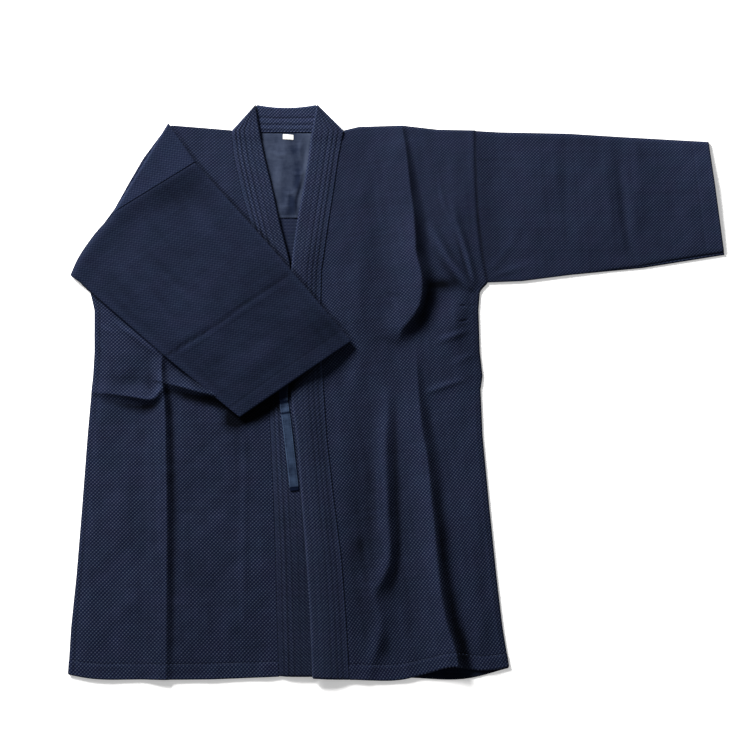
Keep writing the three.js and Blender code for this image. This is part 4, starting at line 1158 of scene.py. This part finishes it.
LINING_ROWS = spaced(LINING_FOOT_Y, LINING_TOP_Y, 1.8, ((LINING_FOOT_Y, 6, 0.7),))
# How much thinner the lining is at its foot, as a share, and over what height
FOOT_THINNING, FOOT_REACH = 0.55, 5


def lining_panel():
    share, y = np.meshgrid(np.linspace(0, 1, 60), LINING_ROWS[::-1])
    start = collar_x(2, y) - LINING_TUCK
    end = collar_x(3, y) + LINING_TUCK
    x = start + (end - start) * share
    shows = np.minimum(smooth((x - start) / LINING_TUCK), smooth((end - x) / LINING_TUCK))
    over = LINING_TOP + (lining_top(x, y) - LINING_TOP) * shows
    under = over - LINING * (1 - FOOT_THINNING * groove(y, LINING_FOOT_Y, FOOT_REACH))
    # A painted highlight along the left collar's inner edge and along the lining's foot; then the table and
    # the crests
    wear_light_and_shade = 0.7 * groove(collar_x(3, y) - x, 3.0, 2.0) + 0.6 * groove(y - LINING_FOOT_Y, 1.5, 1.5)
    wear_light_and_shade = wear_light_and_shade + lofts_rise(LINING_SHADE_AND_LIGHT, x, y) + 0.5 * crests(over)
    uv = grain_map(x, y, *STRAIGHT_GRAIN)
    return cloth_shell("lining_cloth", x, y, under, over, uv, LINING_CLOTH, wear_light_and_shade)


LABEL_LIFT, LABEL_THICK = 0.75, 0.5


def label_patch():
    across, up = np.meshgrid(np.linspace(-0.5, 0.5, 25), np.linspace(0.5, -0.5, 13))
    x = LABEL_X + across * LABEL_WIDTH
    y = LABEL_Y + up * LABEL_HEIGHT + LABEL_TILT * across * LABEL_WIDTH
    over = lining_top(x, y) + LABEL_LIFT + 0.25 * np.cos(across * 5) - 0.2 * (up < -0.46)
    uv = grain_map(x, y, *STRAIGHT_GRAIN)
    return cloth_shell("label_patch", x, y, over - LABEL_THICK, over, uv, LABEL_CLOTH, 0 * x)


# Along the tape: amount, place and reach, the last two as shares of its length.
# Where it lifts, where it narrows and where a crease gets painted shade, then where its end sinks and gets
# painted shade at its open end
TIE_KINKS = ((0.9, 0.225, 0.02), (0.7, 0.32, 0.02), (0.5, 0.6, 0.08))
TIE_PINCHES = ((0.12, 0.24, 0.02), (0.07, 0.337, 0.02))
TIE_CREASE_SHADE = ((1.6, 0.243, 0.008), (1.6, 0.337, 0.008))
TIE_END_TURN, TIE_END_REACH = 0.965, 0.012
TIE_ROWS_ACROSS = 0.36
TIE_REST = BAND_REST + BAND + QUILT_RISE + LAY_GAP


def along_tie(table, share):
    return sum(amount * groove(share, at, reach) for amount, at, reach in table)


def tie_place(share, across):
    """A point on top of the tape, a share of the way down and across it."""
    middle = along_line(smooth_line(TIE_ROUTE), share)
    ahead = np.gradient(middle, axis=0)
    ahead /= np.hypot(*ahead.T)[:, None]
    side = np.stack([-ahead[:, 1], ahead[:, 0]], -1)
    offset = across * TIE_WIDTH * (1 - along_tie(TIE_PINCHES, share))[:, None]
    x = middle[:, :1] + side[:, :1] * offset
    y = middle[:, 1:] + side[:, 1:] * offset
    wave = along_tie(TIE_KINKS, share) + 0.25 * (1 + np.sin(share * 21)) * share
    wave = wave - 0.5 * smooth((share - TIE_END_TURN) / TIE_END_REACH)
    rows = groove(np.abs(across), TIE_ROWS_ACROSS, 0.05)
    return x, y, TIE_REST + TIE_THICK + wave[:, None] - 0.22 * rows


def tie_tape():
    share = np.linspace(0, 1, 150)
    across, _ = np.meshgrid(np.linspace(-0.5, 0.5, 15), share)
    x, y, over = tie_place(share, across)
    uv = np.stack([across * TIE_WIDTH, share[:, None] * 180 + 0 * across], -1)
    end = smooth((share - TIE_END_TURN) / TIE_END_REACH)
    # Painted shade at the tape's open end and in its creases, the lower tape a little darker, lighter along
    # its edges, and the folded sleeve's painted shadow
    darkening = 3.5 * end + along_tie(TIE_CREASE_SHADE, share) + 0.2 * smooth((share - 0.6) / 0.3)
    wear_light_and_shade = 0.6 * groove(np.abs(across), 0.5, 0.06) - darkening[:, None]
    wear_light_and_shade = wear_light_and_shade + folds_rise(SLEEVE_SHADE, x, y) * 0.5
    return cloth_shell("tie_tape", x, y, over - TIE_THICK, over, uv, TAPE_CLOTH, wear_light_and_shade)


# Sleeves: flattened tubes with open cuffs

def patch(edges, across, along):
    """A point of the patch that four edge lines bound."""
    start, end, first, last = edges
    near_first, near_last, far_first, far_last = (
        np.array(line, float)[i] for line in (start, end) for i in (0, -1))
    shape = across.shape
    a, b = across.ravel()[:, None], along.ravel()[:, None]
    blend = along_line(start, across.ravel()) * (1 - b) + along_line(end, across.ravel()) * b
    blend = blend + along_line(first, along.ravel()) * (1 - a) + along_line(last, along.ravel()) * a
    near = near_first * (1 - a) + near_last * a
    far = far_first * (1 - a) + far_last * a
    blend = blend - (near * (1 - b) + far * b)
    return blend[:, 0].reshape(shape), blend[:, 1].reshape(shape)


def tube_cloth(name, sections, pocket, uv, pocket_uv, material, wear_light_and_shade, closed_start):
    """A closed body from rings of outer points and rings of inner points."""
    outer, inner = np.asarray(sections), np.asarray(pocket)
    count, ring = outer.shape[:2]
    depth = inner.shape[0]
    a = np.arange(count * ring).reshape(count, ring)
    b = count * ring + np.arange(depth * ring).reshape(depth, ring)
    next_a, next_b = np.roll(a, -1, axis=1), np.roll(b, -1, axis=1)
    faces = [
        quads(a[:-1], next_a[:-1], next_a[1:], a[1:]),
        quads(b[:-1], b[1:], next_b[1:], next_b[:-1]),
        quads(a[-1:], next_a[-1:], next_b[-1:], b[-1:]),
    ]
    if not closed_start:
        faces.append(quads(next_a[:1], a[:1], b[:1], next_b[:1]))
    faces = np.concatenate(faces).tolist()
    if closed_start:
        for first_ring, turned in ((a[0], False), (b[0], True)):
            for i in range(ring // 2):
                places = (i, i + 1, (ring - i - 1) % ring, (ring - i) % ring)
                face = list(dict.fromkeys(int(first_ring[place]) for place in places))
                faces.append(face if turned else face[::-1])
    points = np.concatenate([outer.reshape(-1, 3), inner.reshape(-1, 3)])
    first = points[faces[ring // 4]]
    top_faces_up = np.cross(first[1] - first[0], first[2] - first[0])[2] > 0
    if not top_faces_up:
        faces = [face[::-1] for face in faces]
    all_uv = np.concatenate([np.asarray(uv).reshape(-1, 2), np.asarray(pocket_uv).reshape(-1, 2)])
    piece = make_mesh(name, points, faces, all_uv, material)
    set_measure(piece, "wear_light_and_shade", np.concatenate([np.asarray(wear_light_and_shade).ravel(), np.zeros(depth * ring)]))
    return piece


# Lengths of the waves in a sleeve's unevenness
SLEEVE_BROAD_WAVE, SLEEVE_SMALL_WAVE = 90, 30
# Places of a ring's points beside a folded edge, and their step between the edges
EDGE_STEPS = (0, 0.35, 1.0, 1.9, 2.8, 3.8, 4.8, 5.8, 6.8, 7.8, 9.2, 11)
RING_STEP = 2.8
# Least height of a ring between its edges
RING_LEAST = 0.12


def ring_shares(width):
    edge = np.array(EDGE_STEPS) / width
    middle = np.linspace(edge[-1], 1 - edge[-1], round(width / RING_STEP))
    return np.concatenate([edge, middle[1:-1], 1 - edge[::-1]])


def flat_tube(name, edges, alongs, pocket_from, width, low, high, grain, material, wear_light_and_shade_at, closed_start):
    """Rings up the top layer from edge to edge and back along the lower one."""
    shares = ring_shares(width)
    inner_alongs = alongs[alongs >= pocket_from]

    def rings(stops, skin):
        up, along = np.meshgrid(shares, stops)
        inset = skin / width
        x, y = patch(edges, inset + (1 - 2 * inset) * up, along)
        top = high(x, y, up, along) - skin
        bottom = low(x, y, up, along) + skin
        top = np.maximum(top, bottom + RING_LEAST)
        middle = (top + bottom) / 2
        top[:, 0] = bottom[:, 0] = middle[:, 0]
        top[:, -1] = bottom[:, -1] = middle[:, -1]
        upper = np.stack([x, y, top], -1)
        lower = np.stack([x, y, bottom], -1)[:, -2:0:-1]
        ring = np.concatenate([upper, lower], 1)
        uv = grain_map(ring[..., 0], ring[..., 1], *grain)
        wear_light_and_shade = wear_light_and_shade_at(up, along) + 0.3 * crests(top)
        return ring, uv, np.concatenate([wear_light_and_shade, 0 * wear_light_and_shade[:, -2:0:-1]], 1)

    outer, uv, wear_light_and_shade = rings(alongs, 0)
    inner, inner_uv, _ = rings(inner_alongs, CLOTH)
    return tube_cloth(name, outer, inner, uv, inner_uv, material, wear_light_and_shade, closed_start)


def sleeve_softness(x, y, seed, broad, side):
    """Unevenness of a sleeve's top layer, none at its folded edges."""
    uneven = broad * unevenness(x, y, seed, SLEEVE_BROAD_WAVE)
    uneven = uneven + 0.2 * unevenness(x, y, seed + 1, SLEEVE_SMALL_WAVE)
    return uneven * smooth(side / 25)


LEFT_ARMHOLE = [(left, y) for y, _, left in BODY_SIDES if y >= UNDERARM_Y]
LEFT_SLEEVE_WIDTH = 190
LEFT_SLEEVE_LENGTH = 340
LEFT_CUFF_HEM = 25
# The lower layer shows below the upper one near the cuff, along the underarm edge
UNDERARM_STEP = 5


def left_sleeve_high(x, y, up, along):
    layers = 2 * CLOTH + LEFT_SLEEVE_GAP
    side = np.minimum(up, 1 - up) * LEFT_SLEEVE_WIDTH
    from_seam = along * LEFT_SLEEVE_LENGTH
    from_cuff = (1 - along) * LEFT_SLEEVE_LENGTH
    puff = 2.4 * np.sin(np.pi * up) * smooth(along / 0.2)
    soft = sleeve_softness(x, y, 51, 0.45, side)
    folds = folds_rise(LEFT_SLEEVE_FOLDS, x, y) * smooth(side / 12)
    seam = 0.9 * groove(from_seam, 0, 2.2)
    cuff = 0.45 * (1 - smooth((from_cuff - LEFT_CUFF_HEM + 1) / 3))
    cuff = cuff - 0.35 * groove(from_cuff, LEFT_CUFF_HEM, 1.5)
    cuff = cuff - 0.6 * groove(from_cuff, 0, 1.3)
    height = layers + np.maximum(puff + soft + folds, 0) - seam + cuff
    lower_edge = (1 - up) * LEFT_SLEEVE_WIDTH
    strip = UNDERARM_STEP * smooth((along - 0.3) / 0.6)
    to_edge = np.minimum(side, np.maximum(lower_edge - strip, 0))
    height = height * (0.6 + 0.4 * rounded(to_edge, EDGE_ROUND))
    lower_layer = (CLOTH + 0.2) * (0.5 + 0.5 * rounded(lower_edge, 2.5))
    step = (1 - smooth((lower_edge - strip) / 0.9)) * smooth(strip / 2)
    return height * (1 - step) + lower_layer * step


def left_sleeve():
    cuff_line = (LEFT_SLEEVE_TOP[-1], LEFT_SLEEVE_UNDERARM[-1])
    edges = (LEFT_ARMHOLE, cuff_line, LEFT_SLEEVE_TOP, LEFT_SLEEVE_UNDERARM)
    near_ends = (0.002, 0.005, 0.012, 0.93, 0.985, 0.995, 0.998)
    alongs = np.unique([*np.linspace(0, 1, 121), *near_ends])

    def low(x, y, up, along):
        side = np.minimum(up, 1 - up) * LEFT_SLEEVE_WIDTH
        return 1.2 * (1 - rounded(side, EDGE_ROUND)) * smooth(up * 10)

    def wear_light_and_shade_at(up, along):
        edge = np.minimum(up, 1 - up) * LEFT_SLEEVE_WIDTH
        cuff = (1 - along) * LEFT_SLEEVE_LENGTH
        seam = along * LEFT_SLEEVE_LENGTH
        # Lighter along the folded edges and toward the cuff; painted shade on the cuff's rim and in the
        # grooves of the armhole seam and the cuff's hem; darker near the armhole seam
        wear_light_and_shade = 0.18 + 0.35 * groove(edge, 0, 5) + 0.5 * groove(cuff, 0, 8) - 1.6 * groove(cuff, 0, 1.4)
        wear_light_and_shade = wear_light_and_shade + 0.4 * groove(cuff, 40, 45) * smooth((0.55 - up) / 0.4)
        wear_light_and_shade = wear_light_and_shade - 0.8 * groove(seam, 0, 3.0) - 0.5 * groove(cuff, LEFT_CUFF_HEM, 1.2)
        return wear_light_and_shade + 0.3 * smooth((80 - cuff) / 60) - 0.45 * smooth((50 - seam) / 45)

    return flat_tube("left_sleeve_cloth", edges, alongs, 0, LEFT_SLEEVE_WIDTH, low, left_sleeve_high,
                     LEFT_SLEEVE_GRAIN, SLEEVE_CLOTH, wear_light_and_shade_at, False)


RIGHT_SLEEVE_WIDTH = 190
RIGHT_SLEEVE_LENGTH = 300
RIGHT_CUFF_HEM = 18
# Up to this share of its start the sleeve is folded, and past it there is the armhole seam
SEAM_SHARE = 0.44
POCKET_FROM = 0.3
# The tip past the collar droops: where that starts, across the sleeve and along it
TIP_ACROSS, TIP_ALONG = 0.74, 0.78
# Heights of the upper and the lower face where cloth rolls down at its fold, and the fold's radius
ROLLED_TOP, ROLLED_UNDER, FOLD_ROUND = 0.4, 0.15, 9


def sleeve_rest(up, along):
    climbed = smooth(along / SLEEVE_CLIMB_UNTIL)
    past_collar = smooth((up - TIP_ACROSS) / (1 - TIP_ACROSS))
    past_collar = past_collar * smooth((along - TIP_ALONG) / (1 - TIP_ALONG))
    climb = SLEEVE_UNDERARM_CLIMB + SLEEVE_TOP_CLIMB * smooth(up / SLEEVE_BAND_AT)
    return SLEEVE_START_REST + climbed * climb - SLEEVE_TIP_DROOP * past_collar


def on_sleeve_fold(up):
    return 1 - smooth((up - SEAM_SHARE + 0.03) / 0.05)


def right_sleeve_high(x, y, up, along):
    from_start = along * RIGHT_SLEEVE_LENGTH
    from_cuff = (1 - along) * RIGHT_SLEEVE_LENGTH
    side = np.minimum(up, 1 - up) * RIGHT_SLEEVE_WIDTH
    roll = ROLL_RISE * (1 - smooth(from_start / ROLL_REACH))
    puff = 2.2 * np.sin(np.pi * up) * smooth(along / 0.3)
    soft = sleeve_softness(x, y, 61, 0.5, side)
    folds = folds_rise(RIGHT_SLEEVE_FOLDS, x, y) * smooth(side / 10)
    cuff = 0.5 * (1 - smooth((from_cuff - RIGHT_CUFF_HEM + 1) / 3))
    cuff = cuff - 0.4 * groove(from_cuff, RIGHT_CUFF_HEM, 1.6)
    cuff = cuff - 0.7 * groove(from_cuff, 0, 1.4)
    layers = FOLDED_LAYERS + roll + np.maximum(puff + soft + folds, -0.4) + cuff
    layers = layers * (0.62 + 0.38 * rounded(side, EDGE_ROUND))
    top = sleeve_rest(up, along) + layers
    on_fold = on_sleeve_fold(up)
    turned_down = ROLLED_TOP + (top - ROLLED_TOP) * rounded(from_start, FOLD_ROUND)
    seam = top - 0.5 * groove(from_start, 0, 1.0) + 0.2 * groove(from_start, 5, 3)
    return turned_down * on_fold + seam * (1 - on_fold)


def right_sleeve_low(x, y, up, along):
    side = np.minimum(up, 1 - up) * RIGHT_SLEEVE_WIDTH
    rest = sleeve_rest(up, along) + FOLDED_LAYERS * 0.3 * (1 - rounded(side, EDGE_ROUND))
    outside = on_sleeve_fold(up) * (1 - smooth((along * RIGHT_SLEEVE_LENGTH - 1.5) / 1.5))
    return rest * (1 - outside) + ROLLED_UNDER * outside


def smooth_start():
    """The fold's outline rounded, then the straight armhole seam."""
    fold = smooth_line(RIGHT_SLEEVE_START[:4], 5)
    return [tuple(p) for p in fold] + [RIGHT_SLEEVE_START[-1]]


def right_sleeve():
    edges = (smooth_start(), RIGHT_SLEEVE_CUFF, RIGHT_SLEEVE_UNDERARM, RIGHT_SLEEVE_TOP)
    close = np.array([0, 0.0015, 0.004, 0.008, 0.013, 0.02, 0.03, 0.042])
    alongs = np.concatenate([close, np.linspace(0.053, 0.9, 82), np.linspace(0.9, 1, 22)[1:]])

    def wear_light_and_shade_at(up, along):
        edge = np.minimum(up, 1 - up) * RIGHT_SLEEVE_WIDTH
        cuff = (1 - along) * RIGHT_SLEEVE_LENGTH
        start = along * RIGHT_SLEEVE_LENGTH
        # A painted highlight along the cuff's edge, lighter along the folded edges; painted shade in the
        # hem's groove, darker near the fold; then the tables
        wear_light_and_shade = 0.3 * groove(edge, 0, 5) + 0.8 * groove(cuff, 0, 2.5)
        wear_light_and_shade = wear_light_and_shade - 0.5 * groove(cuff, RIGHT_CUFF_HEM, 1.2) - 0.3 * groove(start, 6, 8)
        x, y = patch(edges, up, along)
        return wear_light_and_shade + lofts_rise(RIGHT_SLEEVE_SHADE_AND_LIGHT, x, y) + folds_rise(RIGHT_SLEEVE_SHADE_LINES, x, y)

    return flat_tube("right_sleeve_cloth", edges, alongs, POCKET_FROM, RIGHT_SLEEVE_WIDTH, right_sleeve_low,
                     right_sleeve_high, FOLDED_GRAIN, FOLDED_CLOTH, wear_light_and_shade_at, True)


# Places across the turned shoulder, closer at its fold and at its open edge, and along it
SHOULDER_FOLD_SHARES = (0, 0.004, 0.01, 0.02, 0.035, 0.055, 0.08)
SHOULDER_OPEN_SHARES = (0.93, 0.955, 0.975, 0.99, 1)
SHOULDER_SEAM_SHARES = (0, 0.006, 0.014, 0.025, 0.04)
SHOULDER_LENGTH = 150
SHOULDER_ROLL_SHARE = 0.35


def between(start, end, share):
    return np.array(start) * (1 - share[..., None]) + np.array(end) * share[..., None]


def right_shoulder():
    """The back panel's shoulder, turned over with the sleeve and rolled down at its fold."""
    across, along = np.meshgrid(
        [*SHOULDER_FOLD_SHARES, *np.linspace(0.11, 0.9, 34), *SHOULDER_OPEN_SHARES],
        [*SHOULDER_SEAM_SHARES, *np.linspace(0.06, 0.985, 60)])
    fold_line = between(SHOULDER_SEAM_LOW, SHOULDER_PEAK, along)
    open_line = between(SHOULDER_SEAM_HIGH, SHOULDER_PEAK, along)
    place = between(fold_line, open_line, across)
    width = np.hypot(*np.moveaxis(open_line - fold_line, -1, 0))
    x, y = place[..., 0], place[..., 1]
    from_fold, from_open = across * width, (1 - across) * width
    from_seam = along * SHOULDER_LENGTH
    roll = SHOULDER_ROLL_SHARE * ROLL_RISE * (1 - smooth(from_fold / (2 * ROLL_REACH)))
    soft = 0.45 * unevenness(x, y, 71, 60) * smooth(from_fold / 20) * smooth(from_open / 20)
    layers = (FOLDED_LAYERS + roll + soft) * (0.62 + 0.38 * rounded(from_open, EDGE_ROUND))
    top = ROLLED_TOP + (SLEEVE_START_REST + layers - ROLLED_TOP) * rounded(from_fold, FOLD_ROUND)
    top = top - 0.4 * groove(from_seam, 0, 1.0)
    outside = 1 - smooth((from_fold - 1.5) / 1.5)
    under = np.minimum(SLEEVE_START_REST * (1 - outside) + ROLLED_UNDER * outside, top - 0.2)
    near_fold = groove(from_fold, 10, 24) * (1 - smooth(from_seam / 60))
    # Painted light on the turned shoulder, which faces the lamp, brightest beside the seam and near the
    # fold
    wear_light_and_shade = 0.9 + 0.3 * groove(from_seam, 3, 3) + 0.4 * near_fold
    uv = grain_map(x, y, *FOLDED_GRAIN)
    return cloth_shell("right_shoulder_cloth", x, y, under, top, uv, FOLDED_CLOTH, wear_light_and_shade, FOLDED_BULGE)


# Sewing

# Half the length of a stitch's straight part, and how much stitches slant off their row
STITCH_HALF = 0.28
STITCH_SLANT = 0.05


def stitch_shape():
    """One stitch as a slim bead with four sides and two pointed ends, a unit long."""
    section = [(0.5, 0.35), (-0.5, 0.35), (-0.5, -0.3), (0.5, -0.3)]
    rings = [(end, *corner) for end in (-STITCH_HALF, STITCH_HALF) for corner in section]
    points = np.array([*rings, (-0.5, 0, -0.35), (0.5, 0, -0.35)])
    corners = [(i, (i + 1) % 4) for i in range(4)]
    faces = [(a, a + 4, b + 4, b) for a, b in corners]
    faces += [(8, a, b) for a, b in corners]
    faces += [(9, b + 4, a + 4) for a, b in corners]
    return points, [face[::-1] for face in faces]


def stitches(name, lines, pitch, length, thick, thread=THREAD):
    """Rows of stitches along lines of points on the cloth, as one mesh."""
    shape, shape_faces = stitch_shape()
    points, faces, uv = [], [], []
    for line in lines:
        line = np.asarray(line, float)
        total = np.hypot(*np.diff(line[:, :2], axis=0).T).sum()
        count = int(total / pitch)
        share = (np.arange(count) + 0.5) / count
        at = along_line(line, share)
        before = along_line(line, np.maximum(share - 1 / total, 0))
        ahead = along_line(line, np.minimum(share + 1 / total, 1)) - before
        ahead /= np.linalg.norm(ahead, axis=1)[:, None]
        side = np.stack([-ahead[:, 1], ahead[:, 0], 0 * ahead[:, 0]], -1)
        side /= np.linalg.norm(side, axis=1)[:, None]
        up = np.cross(ahead, side)
        slant = rng.normal(0, STITCH_SLANT, count)
        for k in range(count):
            base = len(points)
            run = ahead[k] + side[k] * slant[k]
            bead = shape[:, 1:2] * side[k] * thick + shape[:, 2:] * up[k] * thick
            moved = at[k] + shape[:, :1] * run * length + bead
            points.extend(moved)
            uv.extend(moved[:, :2])
            faces.extend([tuple(base + i for i in face) for face in shape_faces])
    return make_mesh(name, points, faces, uv, thread)


def band_stitches(side):
    y = np.linspace(HEM_Y + 10, 366, 240)
    lines = []
    for row in STITCH_ROWS:
        share = np.full_like(y, row)
        x, _ = band_place(side, share, y)
        lines.append(np.stack([x, band_true_y(side, y, share), band_top(side, share, y) + 0.05], -1))
    return stitches(side + "_collar_stitches", lines, pitch=3.4, length=2.4, thick=0.5)


def hem_stitches(name, places, top, hem):
    """The row that holds the turned-up hem, in paler thread."""
    y = np.full(240, HEM_Y + HEM_WIDTH)
    x = np.linspace(*places, 240)
    line = np.stack([x, bent_y(y, x, hem), top(x, y) + 0.25], -1)
    return stitches(name, [line], pitch=5.8, length=3.2, thick=0.8, thread=PALE_THREAD)


# The hem stitching of each front runs from one of these places across to the other
LEFT_HEM_RUN = (-64, 158)
RIGHT_HEM_RUN = (-470, -176)


def left_hem_top(x, y):
    return left_front_top(x, y, collar_x(4, y), side_x(2, y))


def tie_stitches():
    share = np.linspace(0.02, 0.95, 200)
    rows = []
    for across in (-TIE_ROWS_ACROSS, TIE_ROWS_ACROSS):
        x, y, top = tie_place(share, np.full((len(share), 1), across))
        rows.append(np.concatenate([x, y, top + 0.1], 1))
    return stitches("tie_stitches", rows, pitch=2.9, length=1.9, thick=0.45)


# Put the jacket together

def finish_piece(piece, slot, *nodes):
    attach(piece, "root")
    if nodes:
        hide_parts(*nodes)
    return piece


back = finish_piece(back_panel(), "rice_grain_cotton", "back")
left_front = finish_piece(left_front_panel(), "rice_grain_cotton", "left_front")
right_front = finish_piece(right_front_panel(), "rice_grain_cotton", "right_front")
left_collar = finish_piece(collar_band("left"), "quilted_band", "left_collar")
right_collar = finish_piece(collar_band("right"), "quilted_band", "right_collar")
neck_collar = finish_piece(neck_band(), "quilted_band", "neck_collar")
lining = finish_piece(lining_panel(), "lining", "neck_lining")
label = finish_piece(label_patch(), "label", "label")
tie = finish_piece(tie_tape(), "tape", "tie")
sleeve_left = finish_piece(left_sleeve(), "rice_grain_cotton", "left_sleeve")
sleeve_right = finish_piece(right_sleeve(), "rice_grain_cotton", "right_sleeve")
shoulder = finish_piece(right_shoulder(), "rice_grain_cotton", "right_shoulder")
for side in ("left", "right"):
    finish_piece(band_stitches(side), "quilted_band")
finish_piece(tie_stitches(), "tape")
left_hem = hem_stitches("left_hem_stitches", LEFT_HEM_RUN, left_hem_top, LEFT_HEM_DROP)
right_hem = hem_stitches("right_hem_stitches", RIGHT_HEM_RUN, right_front_top, RIGHT_HEM_DROP)
for rows in (left_hem, right_hem):
    finish_piece(rows, "rice_grain_cotton")


# Table and light

TABLE_SIZE = 40
TABLE_GAP = 0.0006
LAMP_PLACE, LAMP_AIM = (-1.7, 2.2, 1.5), (-0.05, 0.1, 0)
LAMP_ENERGY, LAMP_SIZE = 300, 1.0
LAMP_COLOUR = (1.0, 0.99, 0.98)
SKY_STRENGTH = 0.26


def set_table():
    bpy.ops.object.select_all(action="DESELECT")
    bpy.ops.mesh.primitive_plane_add(size=TABLE_SIZE, location=(0, 0, -TABLE_GAP))
    floor = bpy.context.object
    floor.name = "floor"
    floor.data.materials.append(floor_finish())


def set_lamp():
    """A large soft lamp at the upper left, as a window."""
    data = bpy.data.lights.new("window", "AREA")
    data.energy = LAMP_ENERGY
    data.color = LAMP_COLOUR
    data.size = LAMP_SIZE
    lamp = bpy.data.objects.new("window", data)
    lamp.location = LAMP_PLACE
    direction = np.array(LAMP_AIM) - np.array(LAMP_PLACE)
    flat = math.hypot(direction[0], direction[1])
    turn = math.atan2(direction[1], direction[0]) - math.pi / 2
    lamp.rotation_euler = (math.atan2(flat, -direction[2]), 0, turn)
    bpy.context.collection.objects.link(lamp)


def set_sky():
    world = bpy.data.worlds.new("studio")
    world.use_nodes = True
    sky = world.node_tree.nodes["Background"]
    sky.inputs["Color"].default_value = (1, 1, 1, 1)
    sky.inputs["Strength"].default_value = SKY_STRENGTH
    bpy.context.scene.world = world


set_table()
set_lamp()
set_sky()
bpy.context.scene.view_settings.view_transform = "Standard"
